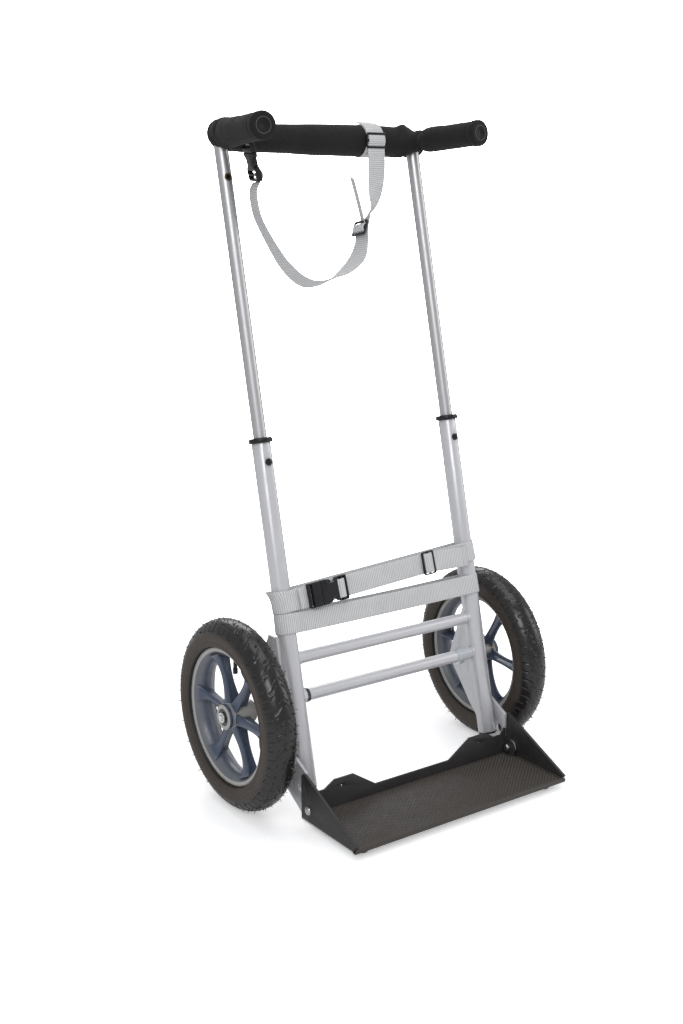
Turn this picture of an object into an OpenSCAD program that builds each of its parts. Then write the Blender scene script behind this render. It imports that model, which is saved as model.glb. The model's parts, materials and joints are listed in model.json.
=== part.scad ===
// Two-wheel leaning hand trolley with a telescopic padded handle, a fold-up toe plate,
// quick-release wheels and webbing bands.
// X runs across the trolley, +Y to its back, +Z up; the origin is on the ground at the
// middle of the overall footprint.

/* [Frame] */
// Angle by which the uprights lean back from vertical, degrees
lean_angle = 13; // [5:0.5:16]
// Distance between the centre lines of the two uprights
upright_spacing = 376; // [330:1:420]
// Outer diameter of the upright tubes
upright_d = 30.8; // [29.5:0.1:31.5]
// Distance from the ground along the upright to its lower end
upright_foot = 52; // [48:1:60]
// Distance from the ground along the upright to the top of the slide collar
collar_top = 605.5; // [560:0.5:640]
// Outer diameter of the slide collar
collar_d = 38; // [34:0.5:42]
// Diameter of the two crossbars
crossbar_d = 20; // [14:0.5:24]
// Distance along the uprights to the lower crossbar
lower_crossbar_at = 193; // [150:1:210]
// Distance along the uprights to the upper crossbar
upper_crossbar_at = 253.5; // [235:0.5:265]
// Thickness of the side plates that carry the axles and the toe plate
side_plate_t = 5; // [3:0.5:5]

/* [Handle] */
// Outer diameter of the telescopic handle tubes, the crossbar and the grip tubes
handle_tube_d = 22; // [20:0.5:24]
// Distance from the ground along the uprights to the padded crossbar, pulled out
handle_at = 1075.5; // [1065:0.5:1200]
// How far the handle slides down into the uprights
handle_travel = 444.5; // [300:0.5:444.5]
// Outer diameter of the padding on the crossbar
crossbar_foam_d = 50; // [40:0.5:50]
// Outer diameter of the hand grips
grip_d = 40; // [32:0.5:44]
// Length of each grip tube from the corner of the handle
grip_length = 156; // [120:1:190]
// Outward splay of the grips, degrees
grip_splay = 8; // [0:0.5:12]
// Upward tilt of the grips, degrees
grip_rise = 4; // [0:0.5:8]

/* [Wheels] */
// Outer diameter of the tyres
wheel_d = 310; // [300:1:320]
// Distance between the middle planes of the two tyres
wheel_spacing = 514; // [510:1:540]
// Distance of the axles behind the point where the uprights meet the ground
axle_behind = 110; // [104:1:116]
// Turn of the left wheel's first spoke from upright, degrees
left_spoke_turn = 34; // [0:1:60]
// Turn of the right wheel's first spoke from upright, degrees
right_spoke_turn = 33; // [0:1:60]

/* [Toe plate] */
// Distance of the fold pivots ahead of the point where the uprights meet the ground
pivot_ahead = 29; // [26:0.5:31]
// Height of the fold pivots
pivot_height = 31; // [30:0.5:33]
// Distance from the pivots to the rounded front edge of the mat
toe_reach = 128; // [100:1:160]
// Height of the base plate above the ground, which is the height of the feet
toe_clearance = 10; // [6:0.5:10]

/* [Webbing] */
// Width of the webbing
webbing_w = 34; // [28:1:35]
// Thickness of the webbing
webbing_t = 1.8; // [1.2:0.1:2]
// Distance along the uprights to the middle of the lower band
lower_band_at = 311.5; // [300:0.5:312]
// Distance along the uprights to the middle of the buckled band at its left end
upper_band_at = 346.5; // [346:0.5:352]
// Slope of the buckled band, rising to the right, degrees
upper_band_slope = 3.3; // [0:0.1:4]

/* [Hidden] */
$fn = 64;

left = -1;
right = 1;
gap = 0.3;             // space left between pieces that pass each other
run_fit = 0.05;        // radial clearance of a running fit
seat_fit = 0.02;       // radial clearance of a piece that is pushed home

upright_x = upright_spacing / 2;
upright_r = upright_d / 2;
upright_bore_r = upright_r - 1.6;
collar_h = 8;
collar_skirt = 22;
collar_bottom = collar_top - collar_h;
weld_l = 2;            // how far the weld at a crossbar's end stands off the upright
lock_at = collar_bottom - 31;
lock_r = 5.5;
lock_travel = 2.5;
lock_face = handle_tube_d / 2 + gap + lock_travel;
stow_hole_r = 4.6;
handle_r = handle_tube_d / 2;
handle_bore_r = handle_r - 1.5;
stow_hole_at = lock_at + handle_travel;
glide_h = 16;
handle_foot = lock_at - 36;

corner_r = 19;
corner_socket = 13.5;
foam_r = crossbar_foam_d / 2;
foam_half = upright_x - 22;
wrap_r = foam_r - 1;
grip_foam_from = 25;
grip_cap_from = grip_length - 12;
cap_r = grip_d / 2 + 1.8;

wheel_r = wheel_d / 2;
wheel_x = wheel_spacing / 2;
rim_flange_r = 111.5;
rim_half_w = 20;
tyre_centre_r = wheel_r - 28;
tyre_half_w = 28.3;
hub_r = 21;
hub_in = -28;          // inner and outer ends of the hub, from the wheel's middle plane
hub_out = 24;
bearing_r = 14;
bearing_w = 8;
axle_r = 6;
axle_head_r = 8.5;
axle_head_t = 3.5;
release_r = 5;
release_travel = 2;
spring_h = 6.5;
release_seat = hub_out + gap + release_travel - spring_h;
spoke_count = 6;

plate_in = upright_x + upright_r;
plate_out = plate_in + side_plate_t;
cheek_in = plate_out + 0.4;
cheek_t = 4.5;
toe_half = cheek_in + cheek_t;
ear_t = 2.5;
ear_out = plate_in - 0.6;
ear_in = ear_out - ear_t;
pivot_r = 4;
nose_r = 12;           // side plate round the pivot, and the tray's ear inside it
ear_r = 15.5;
base_t = 2.7;
tray_t = 2.5;
mat_t = 4;
base_z = toe_clearance;
tray_z = base_z + base_t;
mat_z = tray_z + tray_t;
mat_top = mat_z + mat_t;
mat_nose_r = (mat_top - base_z) / 2;
toe_front = -pivot_ahead - toe_reach;
tray_front = toe_front + 2 * mat_nose_r;
flange_y = -20;
flange_t = 3;
foot_r = 11;

band_r = upright_r + gap;
slider_w = 40;
slider_h = 26;
slider_t = 3;
buckle_w = 40;
buckle_t = 9;
band_socket_l = 50;
band_plug_l = 24;
sling_socket_l = 44;
sling_plug_l = 16;
sling_x = 93;          // middle of the sling's loop round the padded crossbar
sling_r = foam_r + gap;

crossbar_y = handle_at * sin(lean_angle);
crossbar_z = handle_at * cos(lean_angle);
back_y = crossbar_y + sling_r + webbing_t;
base_y = -(toe_front + back_y) / 2;

steel = "silver";
paint = "gainsboro";
plastic = "#202022";
foam = "#2b2828";
rubber = "#3a322c";
tray_black = "#262424";
rim_blue = "#5f6a7e";
web_grey = "#c9cac8";

// Draws its children on the given side: they are written for the right-hand side.
module on_side(side) {
    mirror([side < 0 ? 1 : 0, 0, 0]) children();
}

// Frame of the uprights: +Z runs up along them and -Y faces the front.
module lean() {
    translate([0, base_y, 0]) rotate([-lean_angle, 0, 0]) children();
}

// Extrudes an outline drawn in Y and Z, measured from the uprights' line on the ground,
// outwards along X.
module side_sheet(x, thickness) {
    translate([x, base_y, 0]) rotate([90, 0, 90]) linear_extrude(thickness) children();
}

// Frame of a wheel: +Z runs outwards along the axle and -X up.
module wheel_place(side) {
    on_side(side) translate([wheel_x, base_y + axle_behind, wheel_r]) rotate([0, 90, 0]) children();
}

// Frame of a grip: +Z runs forward along it from the corner of the handle.
module grip_place(side) {
    on_side(side)
        translate([upright_x, base_y + crossbar_y, crossbar_z])
        rotate([0, 0, grip_splay]) rotate([90 - grip_rise, 0, 0]) children();
}

module ring(outer_r, inner_r, h) {
    difference() {
        cylinder(r = outer_r, h = h);
        translate([0, 0, -1]) cylinder(r = inner_r, h = h + 2);
    }
}

// Point where the line from p touches a circle; turn is 1 or -1 for the two tangents.
function tangent_point(p, centre, r, turn) =
    let (d = p - centre, a = atan2(d[1], d[0]) + turn * acos(r / norm(d)))
    centre + r * [cos(a), sin(a)];

function arc(centre, r, from, to, steps) =
    [for (i = [0:steps]) centre + r * [cos(from + (to - from) * i / steps),
                                       sin(from + (to - from) * i / steps)]];

// ---- frame -------------------------------------------------------------------------

module upright_tube(side) {
    color(paint) on_side(side) lean() difference() {
        translate([upright_x, 0, upright_foot])
            ring(upright_r, upright_bore_r, collar_bottom - upright_foot);
        translate([upright_x, 0, lock_at]) rotate([90, 0, 0])
            cylinder(r = lock_r + run_fit, h = upright_d);
    }
}

module crossbar_at(s) {
    color(paint) lean() difference() {
        translate([-upright_x, 0, s]) rotate([0, 90, 0]) union() {
            cylinder(d = crossbar_d, h = upright_spacing);
            for (end = [0, upright_spacing - upright_r - weld_l])
                translate([0, 0, end]) cylinder(d = crossbar_d + 2, h = upright_r + weld_l);
        }
        for (side = [left, right])
            translate([side * upright_x, 0, s - crossbar_d]) cylinder(r = upright_r, h = 2 * crossbar_d);
    }
}

module crossbar_sleeves() {
    color(plastic) lean() translate([0, 0, lower_crossbar_at]) rotate([0, 90, 0]) {
        translate([0, 0, upright_x - upright_r - 34])
            ring(crossbar_d / 2 + 1, crossbar_d / 2 + seat_fit, 28);
        translate([0, 0, -upright_x + upright_r + weld_l + gap])
            ring(crossbar_d / 2 + 1.4, crossbar_d / 2 + seat_fit, 5);
    }
}

axle_at = [axle_behind, wheel_r];
pivot_at = [-pivot_ahead, pivot_height];

// Outline of the side plate: the axle at its back corner, the toe plate's pivot at its nose.
module side_plate_outline() {
    front = -15;
    slope = tan(27);
    bar_slope = tan(lean_angle);
    nose_top = 87;
    weld_z = (nose_top - slope * front) / (1 - slope * bar_slope);
    top_z = 284;
    shoulder = [98, 262];
    heel = [77.5, 77.7];
    boss_r = 24;
    upper = tangent_point(shoulder, axle_at, boss_r, -1);
    lower = tangent_point(heel, axle_at, boss_r, 1);
    upper_a = atan2(upper[1] - axle_at[1], upper[0] - axle_at[0]);
    lower_a = atan2(lower[1] - axle_at[1], lower[0] - axle_at[0]);
    polygon(concat(
        [[front, tray_z + 0.6], [-8, tray_z + 0.6], [44, 45], heel],
        arc(axle_at, boss_r, lower_a, upper_a, 12),
        [shoulder, [88.5, top_z], [top_z * bar_slope, top_z], [weld_z * bar_slope, weld_z],
         [front, nose_top]]));
    translate(pivot_at) circle(r = nose_r);
    translate([-pivot_ahead, pivot_height - nose_r]) square([pivot_ahead + front + 1, 2 * nose_r]);
}

module side_plate(side) {
    color(paint) on_side(side) side_sheet(plate_in, side_plate_t) difference() {
        side_plate_outline();
        translate(axle_at) circle(r = 8 + seat_fit);
        translate(pivot_at) circle(r = pivot_r + run_fit);
        translate([-1, 57]) circle(r = 7);
    }
}

module axle_receivers() {
    color(steel) for (side = [left, right])
        wheel_place(side) translate([0, 0, -wheel_x]) difference() {
            union() {
                translate([0, 0, plate_in - 5]) cylinder(r = 13, h = 5);
                translate([0, 0, plate_in]) cylinder(r = 8, h = side_plate_t);
                translate([0, 0, plate_out])
                    cylinder(r = 11, h = wheel_x + hub_in - 1.5 - plate_out);
            }
            translate([0, 0, plate_in - 6]) cylinder(r = axle_r + run_fit, h = 60);
        }
}

module slide_collar(side) {
    color(plastic) on_side(side) lean() translate([upright_x, 0, collar_bottom]) difference() {
        union() {
            cylinder(d = collar_d, h = collar_h - 1.5);
            translate([0, 0, collar_h - 1.5]) cylinder(d = collar_d - 2.5, h = 1.5);
            translate([0, 0, -collar_skirt])
                cylinder(r = upright_bore_r - seat_fit, h = collar_skirt);
        }
        translate([0, 0, -collar_skirt - 1]) cylinder(r = handle_r + run_fit, h = 60);
    }
}

// Spring clips that sit in the space between the two tubes, either side of each button.
module lock_clips() {
    color(steel) for (side = [left, right])
        on_side(side) lean() translate([upright_x, 0, lock_at - 4]) difference() {
            ring(upright_bore_r - 0.3, upright_bore_r - 0.9, 8);
            translate([-lock_r - 1, -upright_r, -1]) cube([2 * lock_r + 2, upright_r, 10]);
        }
}

module tube_foot_plugs() {
    color(plastic) for (side = [left, right])
        on_side(side) lean() translate([upright_x, 0, upright_foot]) {
            translate([0, 0, -3.5]) cylinder(r = upright_r - 0.4, h = 3.5);
            cylinder(r = upright_bore_r - seat_fit, h = 9);
        }
}

// ---- locking buttons ---------------------------------------------------------------

module lock_button(side) {
    color(plastic) on_side(side) lean()
        translate([upright_x, -lock_face, lock_at]) rotate([90, 0, 0]) {
            cylinder(r = lock_r, h = 3.9);
            translate([0, 0, 3.9]) intersection() {
                cylinder(r = lock_r, h = 1.6);
                translate([0, 0, -9.2]) sphere(r = 10.7);
            }
        }
}

// ---- handle ------------------------------------------------------------------------

module handle_tube(side) {
    color(steel) on_side(side) lean() difference() {
        translate([upright_x, 0, handle_foot])
            ring(handle_r, handle_bore_r, handle_at - corner_socket - handle_foot);
        translate([upright_x, 0, lock_at]) rotate([90, 0, 0])
            cylinder(r = lock_r + gap, h = upright_d);
        if (side < 0) translate([upright_x, 0, stow_hole_at]) rotate([90, 0, 0])
            cylinder(r = stow_hole_r, h = upright_d);
    }
}

module handle_crossbar() {
    bar_half = upright_x - corner_socket;
    color(steel) translate([-bar_half, base_y + crossbar_y, crossbar_z]) rotate([0, 90, 0])
        ring(handle_r, handle_bore_r, 2 * bar_half);
}

// Cast corner pieces that take the ends of the three tubes.
module corner_joints() {
    color(steel) for (side = [left, right]) difference() {
        on_side(side) translate([upright_x, base_y + crossbar_y, crossbar_z]) sphere(r = corner_r);
        on_side(side) lean() translate([upright_x, 0, handle_at - 40])
            cylinder(r = handle_r + seat_fit, h = 40 - corner_socket);
        on_side(side) translate([upright_x - 48, base_y + crossbar_y, crossbar_z])
            rotate([0, 90, 0]) cylinder(r = handle_r + seat_fit, h = 48 - corner_socket);
        grip_place(side) translate([0, 0, corner_socket]) cylinder(r = handle_r + seat_fit, h = 40);
    }
}

module grip_tubes() {
    color(steel) for (side = [left, right])
        grip_place(side) translate([0, 0, corner_socket])
            ring(handle_r, handle_bore_r, grip_length - 4 - corner_socket);
}

module crossbar_foam() {
    color(foam) translate([-foam_half, base_y + crossbar_y, crossbar_z]) rotate([0, 90, 0])
        ring(foam_r, handle_r + gap, 2 * foam_half);
}

// Padding wrapped round each corner of the handle.
module corner_wrap(side) {
    color(foam) difference() {
        on_side(side) translate([upright_x, base_y + crossbar_y, crossbar_z]) sphere(r = wrap_r);
        on_side(side) translate([upright_x, base_y + crossbar_y, crossbar_z])
            sphere(r = corner_r + gap);
        on_side(side) lean() translate([upright_x, 0, handle_at - 40])
            cylinder(r = handle_r + gap, h = 40);
        on_side(side) translate([foam_half + gap - 40, base_y + crossbar_y, crossbar_z])
            rotate([0, 90, 0]) cylinder(r = wrap_r + 1, h = 40);
        on_side(side) translate([foam_half - 40, base_y + crossbar_y, crossbar_z])
            rotate([0, 90, 0]) cylinder(r = handle_r + gap, h = 60);
        grip_place(side) cylinder(r = handle_r + gap, h = 40);
    }
}

module grip_foam(side) {
    color(foam) grip_place(side) translate([0, 0, grip_foam_from])
        ring(grip_d / 2, handle_r + gap, grip_cap_from - gap - grip_foam_from);
}

module grip_caps() {
    color(foam) for (side = [left, right])
        grip_place(side) translate([0, 0, grip_cap_from]) {
            difference() {
                union() {
                    cylinder(r = cap_r, h = 12);
                    translate([0, 0, 12]) cylinder(r = cap_r - 2, h = 1.5);
                }
                translate([0, 0, -1]) cylinder(r = handle_r + seat_fit, h = grip_length - 3 - grip_cap_from);
                translate([0, 0, 12.7]) ring(handle_r, handle_r - 1, 2);
            }
        }
}

module handle_glides() {
    color(plastic) for (side = [left, right])
        on_side(side) lean() translate([upright_x, 0, handle_foot - glide_h]) {
            cylinder(r = upright_bore_r - run_fit, h = glide_h);
            translate([0, 0, glide_h]) cylinder(r = handle_bore_r - seat_fit, h = 12);
        }
}

// ---- toe plate ---------------------------------------------------------------------

module toe_base_plate() {
    color(steel) difference() {
        translate([-toe_half, base_y + tray_front, base_z])
            cube([2 * toe_half, -tray_front - 10, base_t]);
        rivet_places() translate([0, 0, base_z - 1]) cylinder(r = 2 + seat_fit, h = 10);
    }
}

module rivet_places() {
    for (x = [-150, -50, 50, 150], y = [-60, -125]) translate([x, base_y + y, 0]) children();
}

// Cheek of the tray: a tall plate at the back that slopes down to the front of the mat.
module cheek_outline() {
    front = toe_front;
    apex = [-10, 92];
    apex_r = 8;
    centre = apex - [apex_r, apex_r * 1.6];
    polygon(concat(
        [[apex[0], tray_z], [tray_front + 1, tray_z], [tray_front - 6, mat_top - 1], [front, 23]],
        arc(centre, apex_r, 116, 0, 8)));
}

module flange_outline() {
    half = ear_out;
    low = 35.5;
    high = 64.5;
    notch = 52.6;
    profile = [[76, low], [120, high], [157, high], [176, notch], [191, notch], [half - 4, 63],
               [half, 62]];
    polygon(concat(profile, [[half, tray_z], [-half, tray_z]],
        [for (i = [len(profile) - 1:-1:0]) [-profile[i][0], profile[i][1]]]));
}

module toe_tray() {
    color(tray_black) difference() {
        union() {
            for (side = [left, right]) on_side(side) {
                side_sheet(cheek_in, cheek_t) cheek_outline();
                side_sheet(ear_in, ear_t) {
                    translate(pivot_at) circle(r = ear_r);
                    translate([-pivot_ahead - ear_r, tray_z])
                        square([pivot_ahead + ear_r + flange_y + 1, pivot_height - tray_z]);
                    translate([-pivot_ahead, pivot_height])
                        square([pivot_ahead + flange_y + 1, ear_r]);
                }
            }
            translate([0, base_y + flange_y + flange_t, 0]) rotate([90, 0, 0])
                linear_extrude(flange_t) flange_outline();
            translate([-toe_half, base_y + tray_front, tray_z])
                cube([2 * toe_half, flange_y + flange_t - tray_front, tray_t]);
        }
        rivet_places() translate([0, 0, tray_z - 1]) cylinder(r = 2 + seat_fit, h = 10);
        for (side = [left, right]) {
            translate([side * 143, base_y + flange_y - 5, 51]) rotate([-90, 0, 0])
                cylinder(r = 1.8, h = 12);
            on_side(side) translate([ear_in - 1, base_y - pivot_ahead, pivot_height])
                rotate([0, 90, 0]) cylinder(r = pivot_r + seat_fit, h = 40);
        }
    }
}

module toe_mat() {
    narrow = 2 * (ear_in - gap);
    wide = 2 * (cheek_in - gap);
    ear_front = -pivot_ahead - ear_r - gap;
    back = flange_y - gap;
    color(rubber) translate([0, base_y, 0]) union() {
        translate([-narrow / 2, ear_front, mat_z]) cube([narrow, back - ear_front, mat_t]);
        translate([-wide / 2, tray_front, mat_z]) cube([wide, ear_front - tray_front, mat_t]);
        difference() {
            union() {
                translate([-toe_half, toe_front + mat_nose_r, base_z])
                    cube([2 * toe_half, mat_nose_r - gap, 2 * mat_nose_r]);
                translate([-toe_half, toe_front + mat_nose_r, base_z + mat_nose_r])
                    rotate([0, 90, 0]) cylinder(r = mat_nose_r, h = 2 * toe_half);
            }
            for (side = [left, right]) on_side(side)
                translate([cheek_in - gap, tray_front - 7, tray_z - gap]) cube([cheek_t + 1, 20, 20]);
        }
        translate([-wide / 2, tray_front - gap, mat_z]) cube([wide, gap, mat_t]);
    }
}

module foot_places() {
    for (side = [left, right], y = [-34, -132]) translate([side * 186, base_y + y, 0]) children();
}

module toe_feet() {
    color(plastic) foot_places() {
        cylinder(r = foot_r - 1.5, h = 1.5);
        translate([0, 0, 1.5]) cylinder(r = foot_r, h = toe_clearance - 1.5);
    }
}

module tray_rivets() {
    color(steel) rivet_places() {
        translate([0, 0, base_z - 1.5]) cylinder(r = 4, h = 1.5);
        translate([0, 0, base_z]) cylinder(r = 2, h = mat_z - base_z);
    }
}

module pivot_bolts() {
    color(steel) for (side = [left, right])
        on_side(side) translate([0, base_y - pivot_ahead, pivot_height]) rotate([0, 90, 0]) {
            translate([0, 0, ear_in - 5]) cylinder(r = pivot_r, h = toe_half + 5 - ear_in);
            translate([0, 0, toe_half]) cylinder(r = 7, h = 1.2);
            translate([0, 0, toe_half + 1.2]) cylinder(r = 6, h = 1.4);
        }
}

module pivot_nuts() {
    color(steel) for (side = [left, right])
        on_side(side) translate([ear_in - 5.5, base_y - pivot_ahead, pivot_height])
            rotate([0, 90, 0]) difference() {
                union() {
                    cylinder(r = 5, h = 1);
                    translate([0, 0, 1]) cylinder(r = 6.2, h = 4.5);
                }
                translate([0, 0, 0.5]) cylinder(r = pivot_r + seat_fit, h = 6);
            }
}

// ---- wheels ------------------------------------------------------------------------

module rim_section() {
    flange = rim_flange_r;
    seat = flange - 6;
    well = flange - 12.5;
    skin = 3.5;
    half = [[flange, rim_half_w], [flange, rim_half_w - 3.5], [seat, rim_half_w - 5],
            [seat - 1, 10], [well, 6]];
    inner = [[well - skin, 6], [seat - skin - 2, 12], [flange - 6, rim_half_w]];
    polygon(concat(half, [for (i = [len(half) - 1:-1:0]) [half[i][0], -half[i][1]]],
        [for (i = [len(inner) - 1:-1:0]) [inner[i][0], -inner[i][1]]], inner));
}

// One spoke: a flared web with a raised rib down its middle, pointing along -X.
module spoke() {
    root = hub_r - 4;
    tip = rim_flange_r - 15;
    flare = [[root, 9], [root + 22, 6.5], [tip - 26, 6.5], [tip - 8, 10], [tip, 15]];
    translate([0, 0, -7]) linear_extrude(11)
        polygon(concat([for (p = flare) [-p[0], p[1]]],
            [for (i = [len(flare) - 1:-1:0]) [-flare[i][0], -flare[i][1]]]));
    rotate([90, 0, 0]) translate([0, 0, -1.75]) linear_extrude(3.5)
        polygon([[-root, 16], [-root - 14, 9], [-tip + 20, 8], [-tip, 13], [-tip, 3], [-root, 3]]);
}

module rim(side) {
    turn = side < 0 ? left_spoke_turn : right_spoke_turn;
    color(rim_blue) wheel_place(side) difference() {
        union() {
            rotate_extrude() rim_section();
            for (k = [0:spoke_count - 1]) rotate([0, 0, turn + k * 360 / spoke_count]) spoke();
            translate([0, 0, hub_in]) cylinder(r = hub_r - 2, h = hub_out - 6 - hub_in);
            translate([0, 0, hub_out - 6]) cylinder(r = hub_r, h = 6);
        }
        translate([0, 0, hub_in - 1]) cylinder(r = bearing_r - 3, h = 60);
        for (z = [hub_in - 1, hub_out - bearing_w])
            translate([0, 0, z]) cylinder(r = bearing_r + seat_fit, h = bearing_w + 1);
        valve_place(side) translate([0, 0, -30]) cylinder(r = 4, h = 50);
    }
}

// Frame of the valve: +Z runs from the rim towards the hub.
module valve_place(side) {
    turn = side < 0 ? left_spoke_turn - 34 : right_spoke_turn + 132;
    rotate([0, 0, turn]) translate([-rim_flange_r + 12, 0, 0]) rotate([0, 90, 0]) children();
}

module tyre_section() {
    wall = 5.5;
    rise = 121;
    outer = [for (a = [-rise:11:rise]) [tyre_centre_r + 28 * cos(a), tyre_half_w * sin(a)]];
    inner_r = 28 - wall;
    inner = [for (a = [125:-12.5:-125]) [tyre_centre_r + inner_r * cos(a), inner_r * sin(a)]];
    flange = rim_flange_r + 0.8;
    bead = rim_flange_r - 5;
    polygon(concat(outer,
        [[flange, 22], [flange, 16], [bead, 14.7], [bead, 10.5], [bead + 5, 11.5]], inner,
        [[bead + 5, -11.5], [bead, -10.5], [bead, -14.7], [flange, -16], [flange, -22]]));
}

module tyre(side) {
    color(rubber) wheel_place(side) rotate_extrude() tyre_section();
}

module inner_tube(side) {
    color("dimgray") wheel_place(side) difference() {
        rotate_extrude() translate([tyre_centre_r + 1.5, 0]) difference() {
            circle(r = 20);
            circle(r = 18.6);
        }
        valve_place(side) translate([0, 0, -20]) cylinder(r = 3.3, h = 18);
    }
}

module bearings(side) {
    color(plastic) wheel_place(side)
        for (z = [hub_in, hub_out - bearing_w])
            translate([0, 0, z]) ring(bearing_r, axle_r + 0.03, bearing_w);
}

module valve(side) {
    color(plastic) wheel_place(side) valve_place(side) {
        translate([0, 0, -9]) cylinder(r = 3.2, h = 31);
        translate([0, 0, 22]) cylinder(r = 4, h = 9);
    }
}

module axle(side) {
    color(steel) wheel_place(side) difference() {
        union() {
            translate([0, 0, plate_in - 9 - wheel_x])
                cylinder(r = axle_r, h = hub_out + 1 + wheel_x - plate_in + 9);
            translate([0, 0, plate_in - 11 - wheel_x]) cylinder(r = axle_r - 1, h = 2);
            translate([0, 0, hub_out + gap]) cylinder(r = axle_head_r, h = axle_head_t);
        }
        translate([0, 0, release_seat]) cylinder(r = release_r + run_fit, h = 20);
    }
}

module release_button(side) {
    color(steel) wheel_place(side) {
        translate([0, 0, release_seat + spring_h]) cylinder(r = release_r, h = 2.9);
        translate([0, 0, release_seat + spring_h + 2.9]) cylinder(r = release_r - 0.6, h = 0.6);
    }
}

// Coil of round wire swept as one closed surface.
module coil_spring(coil_r, wire_r, turns, height) {
    sides = 8;
    steps = 14 * turns;
    ring_at = function (i)
        let (a = 360 * turns * i / steps, z = wire_r + (height - 2 * wire_r) * i / steps)
        [for (k = [0:sides - 1])
            let (b = 360 * k / sides, r = coil_r + wire_r * cos(b))
            [r * cos(a), r * sin(a), z + wire_r * sin(b)]];
    points = [for (i = [0:steps]) each ring_at(i)];
    walls = [for (i = [0:steps - 1], k = [0:sides - 1])
        let (n = (k + 1) % sides)
        [i * sides + k, i * sides + n, (i + 1) * sides + n, (i + 1) * sides + k]];
    start_cap = [[for (k = [sides - 1:-1:0]) k]];
    end_cap = [[for (k = [0:sides - 1]) steps * sides + k]];
    polyhedron(points = points, faces = concat(walls, start_cap, end_cap));
}

module release_spring(side) {
    color(steel) wheel_place(side) translate([0, 0, release_seat])
        coil_spring(3.6, 0.4, 3, spring_h);
}

// ---- webbing -----------------------------------------------------------------------

// Band round both uprights, drawn in their frame about its own middle.
module band_loop(end_room, width) {
    translate([0, 0, -width / 2]) linear_extrude(width) difference() {
        band_outline(band_r + webbing_t, end_room);
        band_outline(band_r, end_room);
    }
}

module band_outline(r, end_room) {
    reach = upright_x + end_room;
    for (side = [left, right]) translate([side * reach, 0]) circle(r = r);
    translate([-reach, -r]) square([2 * reach, 2 * r]);
}

module lower_band() {
    color(web_grey) lean() translate([0, 0, lower_band_at]) band_loop(0, webbing_w - 2);
}

// Frame of the buckled band: +X runs along it and its outer face is at -Y.
module upper_band_place() {
    rise = tan(upper_band_slope) * upright_x;
    lean() translate([0, 0, upper_band_at + rise]) rotate([0, -upper_band_slope, 0]) children();
}

module upper_band() {
    color(web_grey) upper_band_place() band_loop(1.6, webbing_w);
}

// Slider with two slots, flat in X and Z, its back face at Y = 0.
module slider_plate() {
    slot_h = 7.5;
    slot_w = webbing_w + 1.5;
    rotate([90, 0, 0]) linear_extrude(slider_t) difference() {
        square([slider_w, slider_h], center = true);
        for (z = [-1, 1]) translate([0, z * (slot_h / 2 + 2)]) square([slot_w, slot_h], center = true);
    }
}

module band_slider() {
    color(plastic) upper_band_place()
        translate([94, -band_r - webbing_t - gap, 0]) rotate([0, 90, 0]) slider_plate();
}

// Female half of a side-release buckle: webbing bar at Z = 0, mouth upwards.
module buckle_socket(length) {
    difference() {
        translate([-buckle_w / 2, -buckle_t, 0]) cube([buckle_w, buckle_t, length]);
        for (z = [3.5, 11.5]) translate([-webbing_w / 2 - 0.7, -buckle_t - 1, z])
            cube([webbing_w + 1.4, buckle_t + 2, 5]);
        translate([-buckle_w / 2 + 3, -buckle_t + 2, 20])
            cube([buckle_w - 6, buckle_t - 4, length]);
        for (x = [-1, 1]) translate([x * buckle_w / 2, -buckle_t - 1, 26]) rotate([-90, 0, 0])
            translate([0, -6, 0]) cylinder(r = 6, h = buckle_t + 2);
    }
}

// Male half: its base closes the mouth and three prongs reach inside.
module buckle_plug(socket_l, length) {
    difference() {
        translate([-buckle_w / 2, -buckle_t, socket_l + gap]) cube([buckle_w, buckle_t, length]);
        translate([-webbing_w / 2 - 0.7, -buckle_t - 1, socket_l + length - 8])
            cube([webbing_w + 1.4, buckle_t + 2, 5]);
    }
    for (x = [-12, 0, 12]) translate([x - 2.5, -buckle_t + 2 + gap, 24])
        cube([5, buckle_t - 4 - 2 * gap, socket_l + 1 - 24]);
}

module band_buckle_place() {
    upper_band_place() translate([-80, -band_r - webbing_t - gap, 0]) rotate([0, -90, 0]) children();
}

// ---- sling -------------------------------------------------------------------------

// Middle line of the hanging sling, as [x, y ahead of the crossbar, z below it, turn and lift
// of its width].
sling_route = [
    [93, 30, 14, 0, 0], [93, 30, 45, 0, 0], [91, 30, 75, 8, 0], [85, 31, 102, 32, 0],
    [73, 32, 122, 64, -2], [61, 34, 143, 88, -3], [57, 37, 165, 94, 0], [46, 40, 190, 105, 4],
    [18, 42, 212, 96, -1], [-12, 43, 224, 93, -20], [-45, 43, 229, 95, -22], [-71, 43, 220, 93, -18],
    [-94, 43, 201, 92, -10], [-110, 43, 182, 89, -4], [-132, 44, 150, 84, 0], [-151, 47, 118, 80, 0],
    [-159, 50, 84, 79, 0], [-153, 50, 68, 78, 0]
];

function sling_point(i) =
    let (p = sling_route[i]) [p[0], base_y + crossbar_y - p[1], crossbar_z - p[2]];

// Rectangle of webbing across the route at point i.
function sling_ring(i) =
    let (last = len(sling_route) - 1,
         ahead = sling_point(min(i + 1, last)) - sling_point(max(i - 1, 0)),
         along = ahead / norm(ahead),
         turn = sling_route[i][3],
         lift = sling_route[i][4],
         across_raw = [cos(turn) * cos(lift), sin(turn) * cos(lift), sin(lift)],
         across_flat = across_raw - along * (across_raw * along),
         across = across_flat / norm(across_flat),
         face = cross(along, across))
    [for (c = [[-1, 1], [1, 1], [1, -1], [-1, -1]])
        sling_point(i) + across * c[0] * webbing_w / 2 + face * c[1] * webbing_t / 2];

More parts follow.
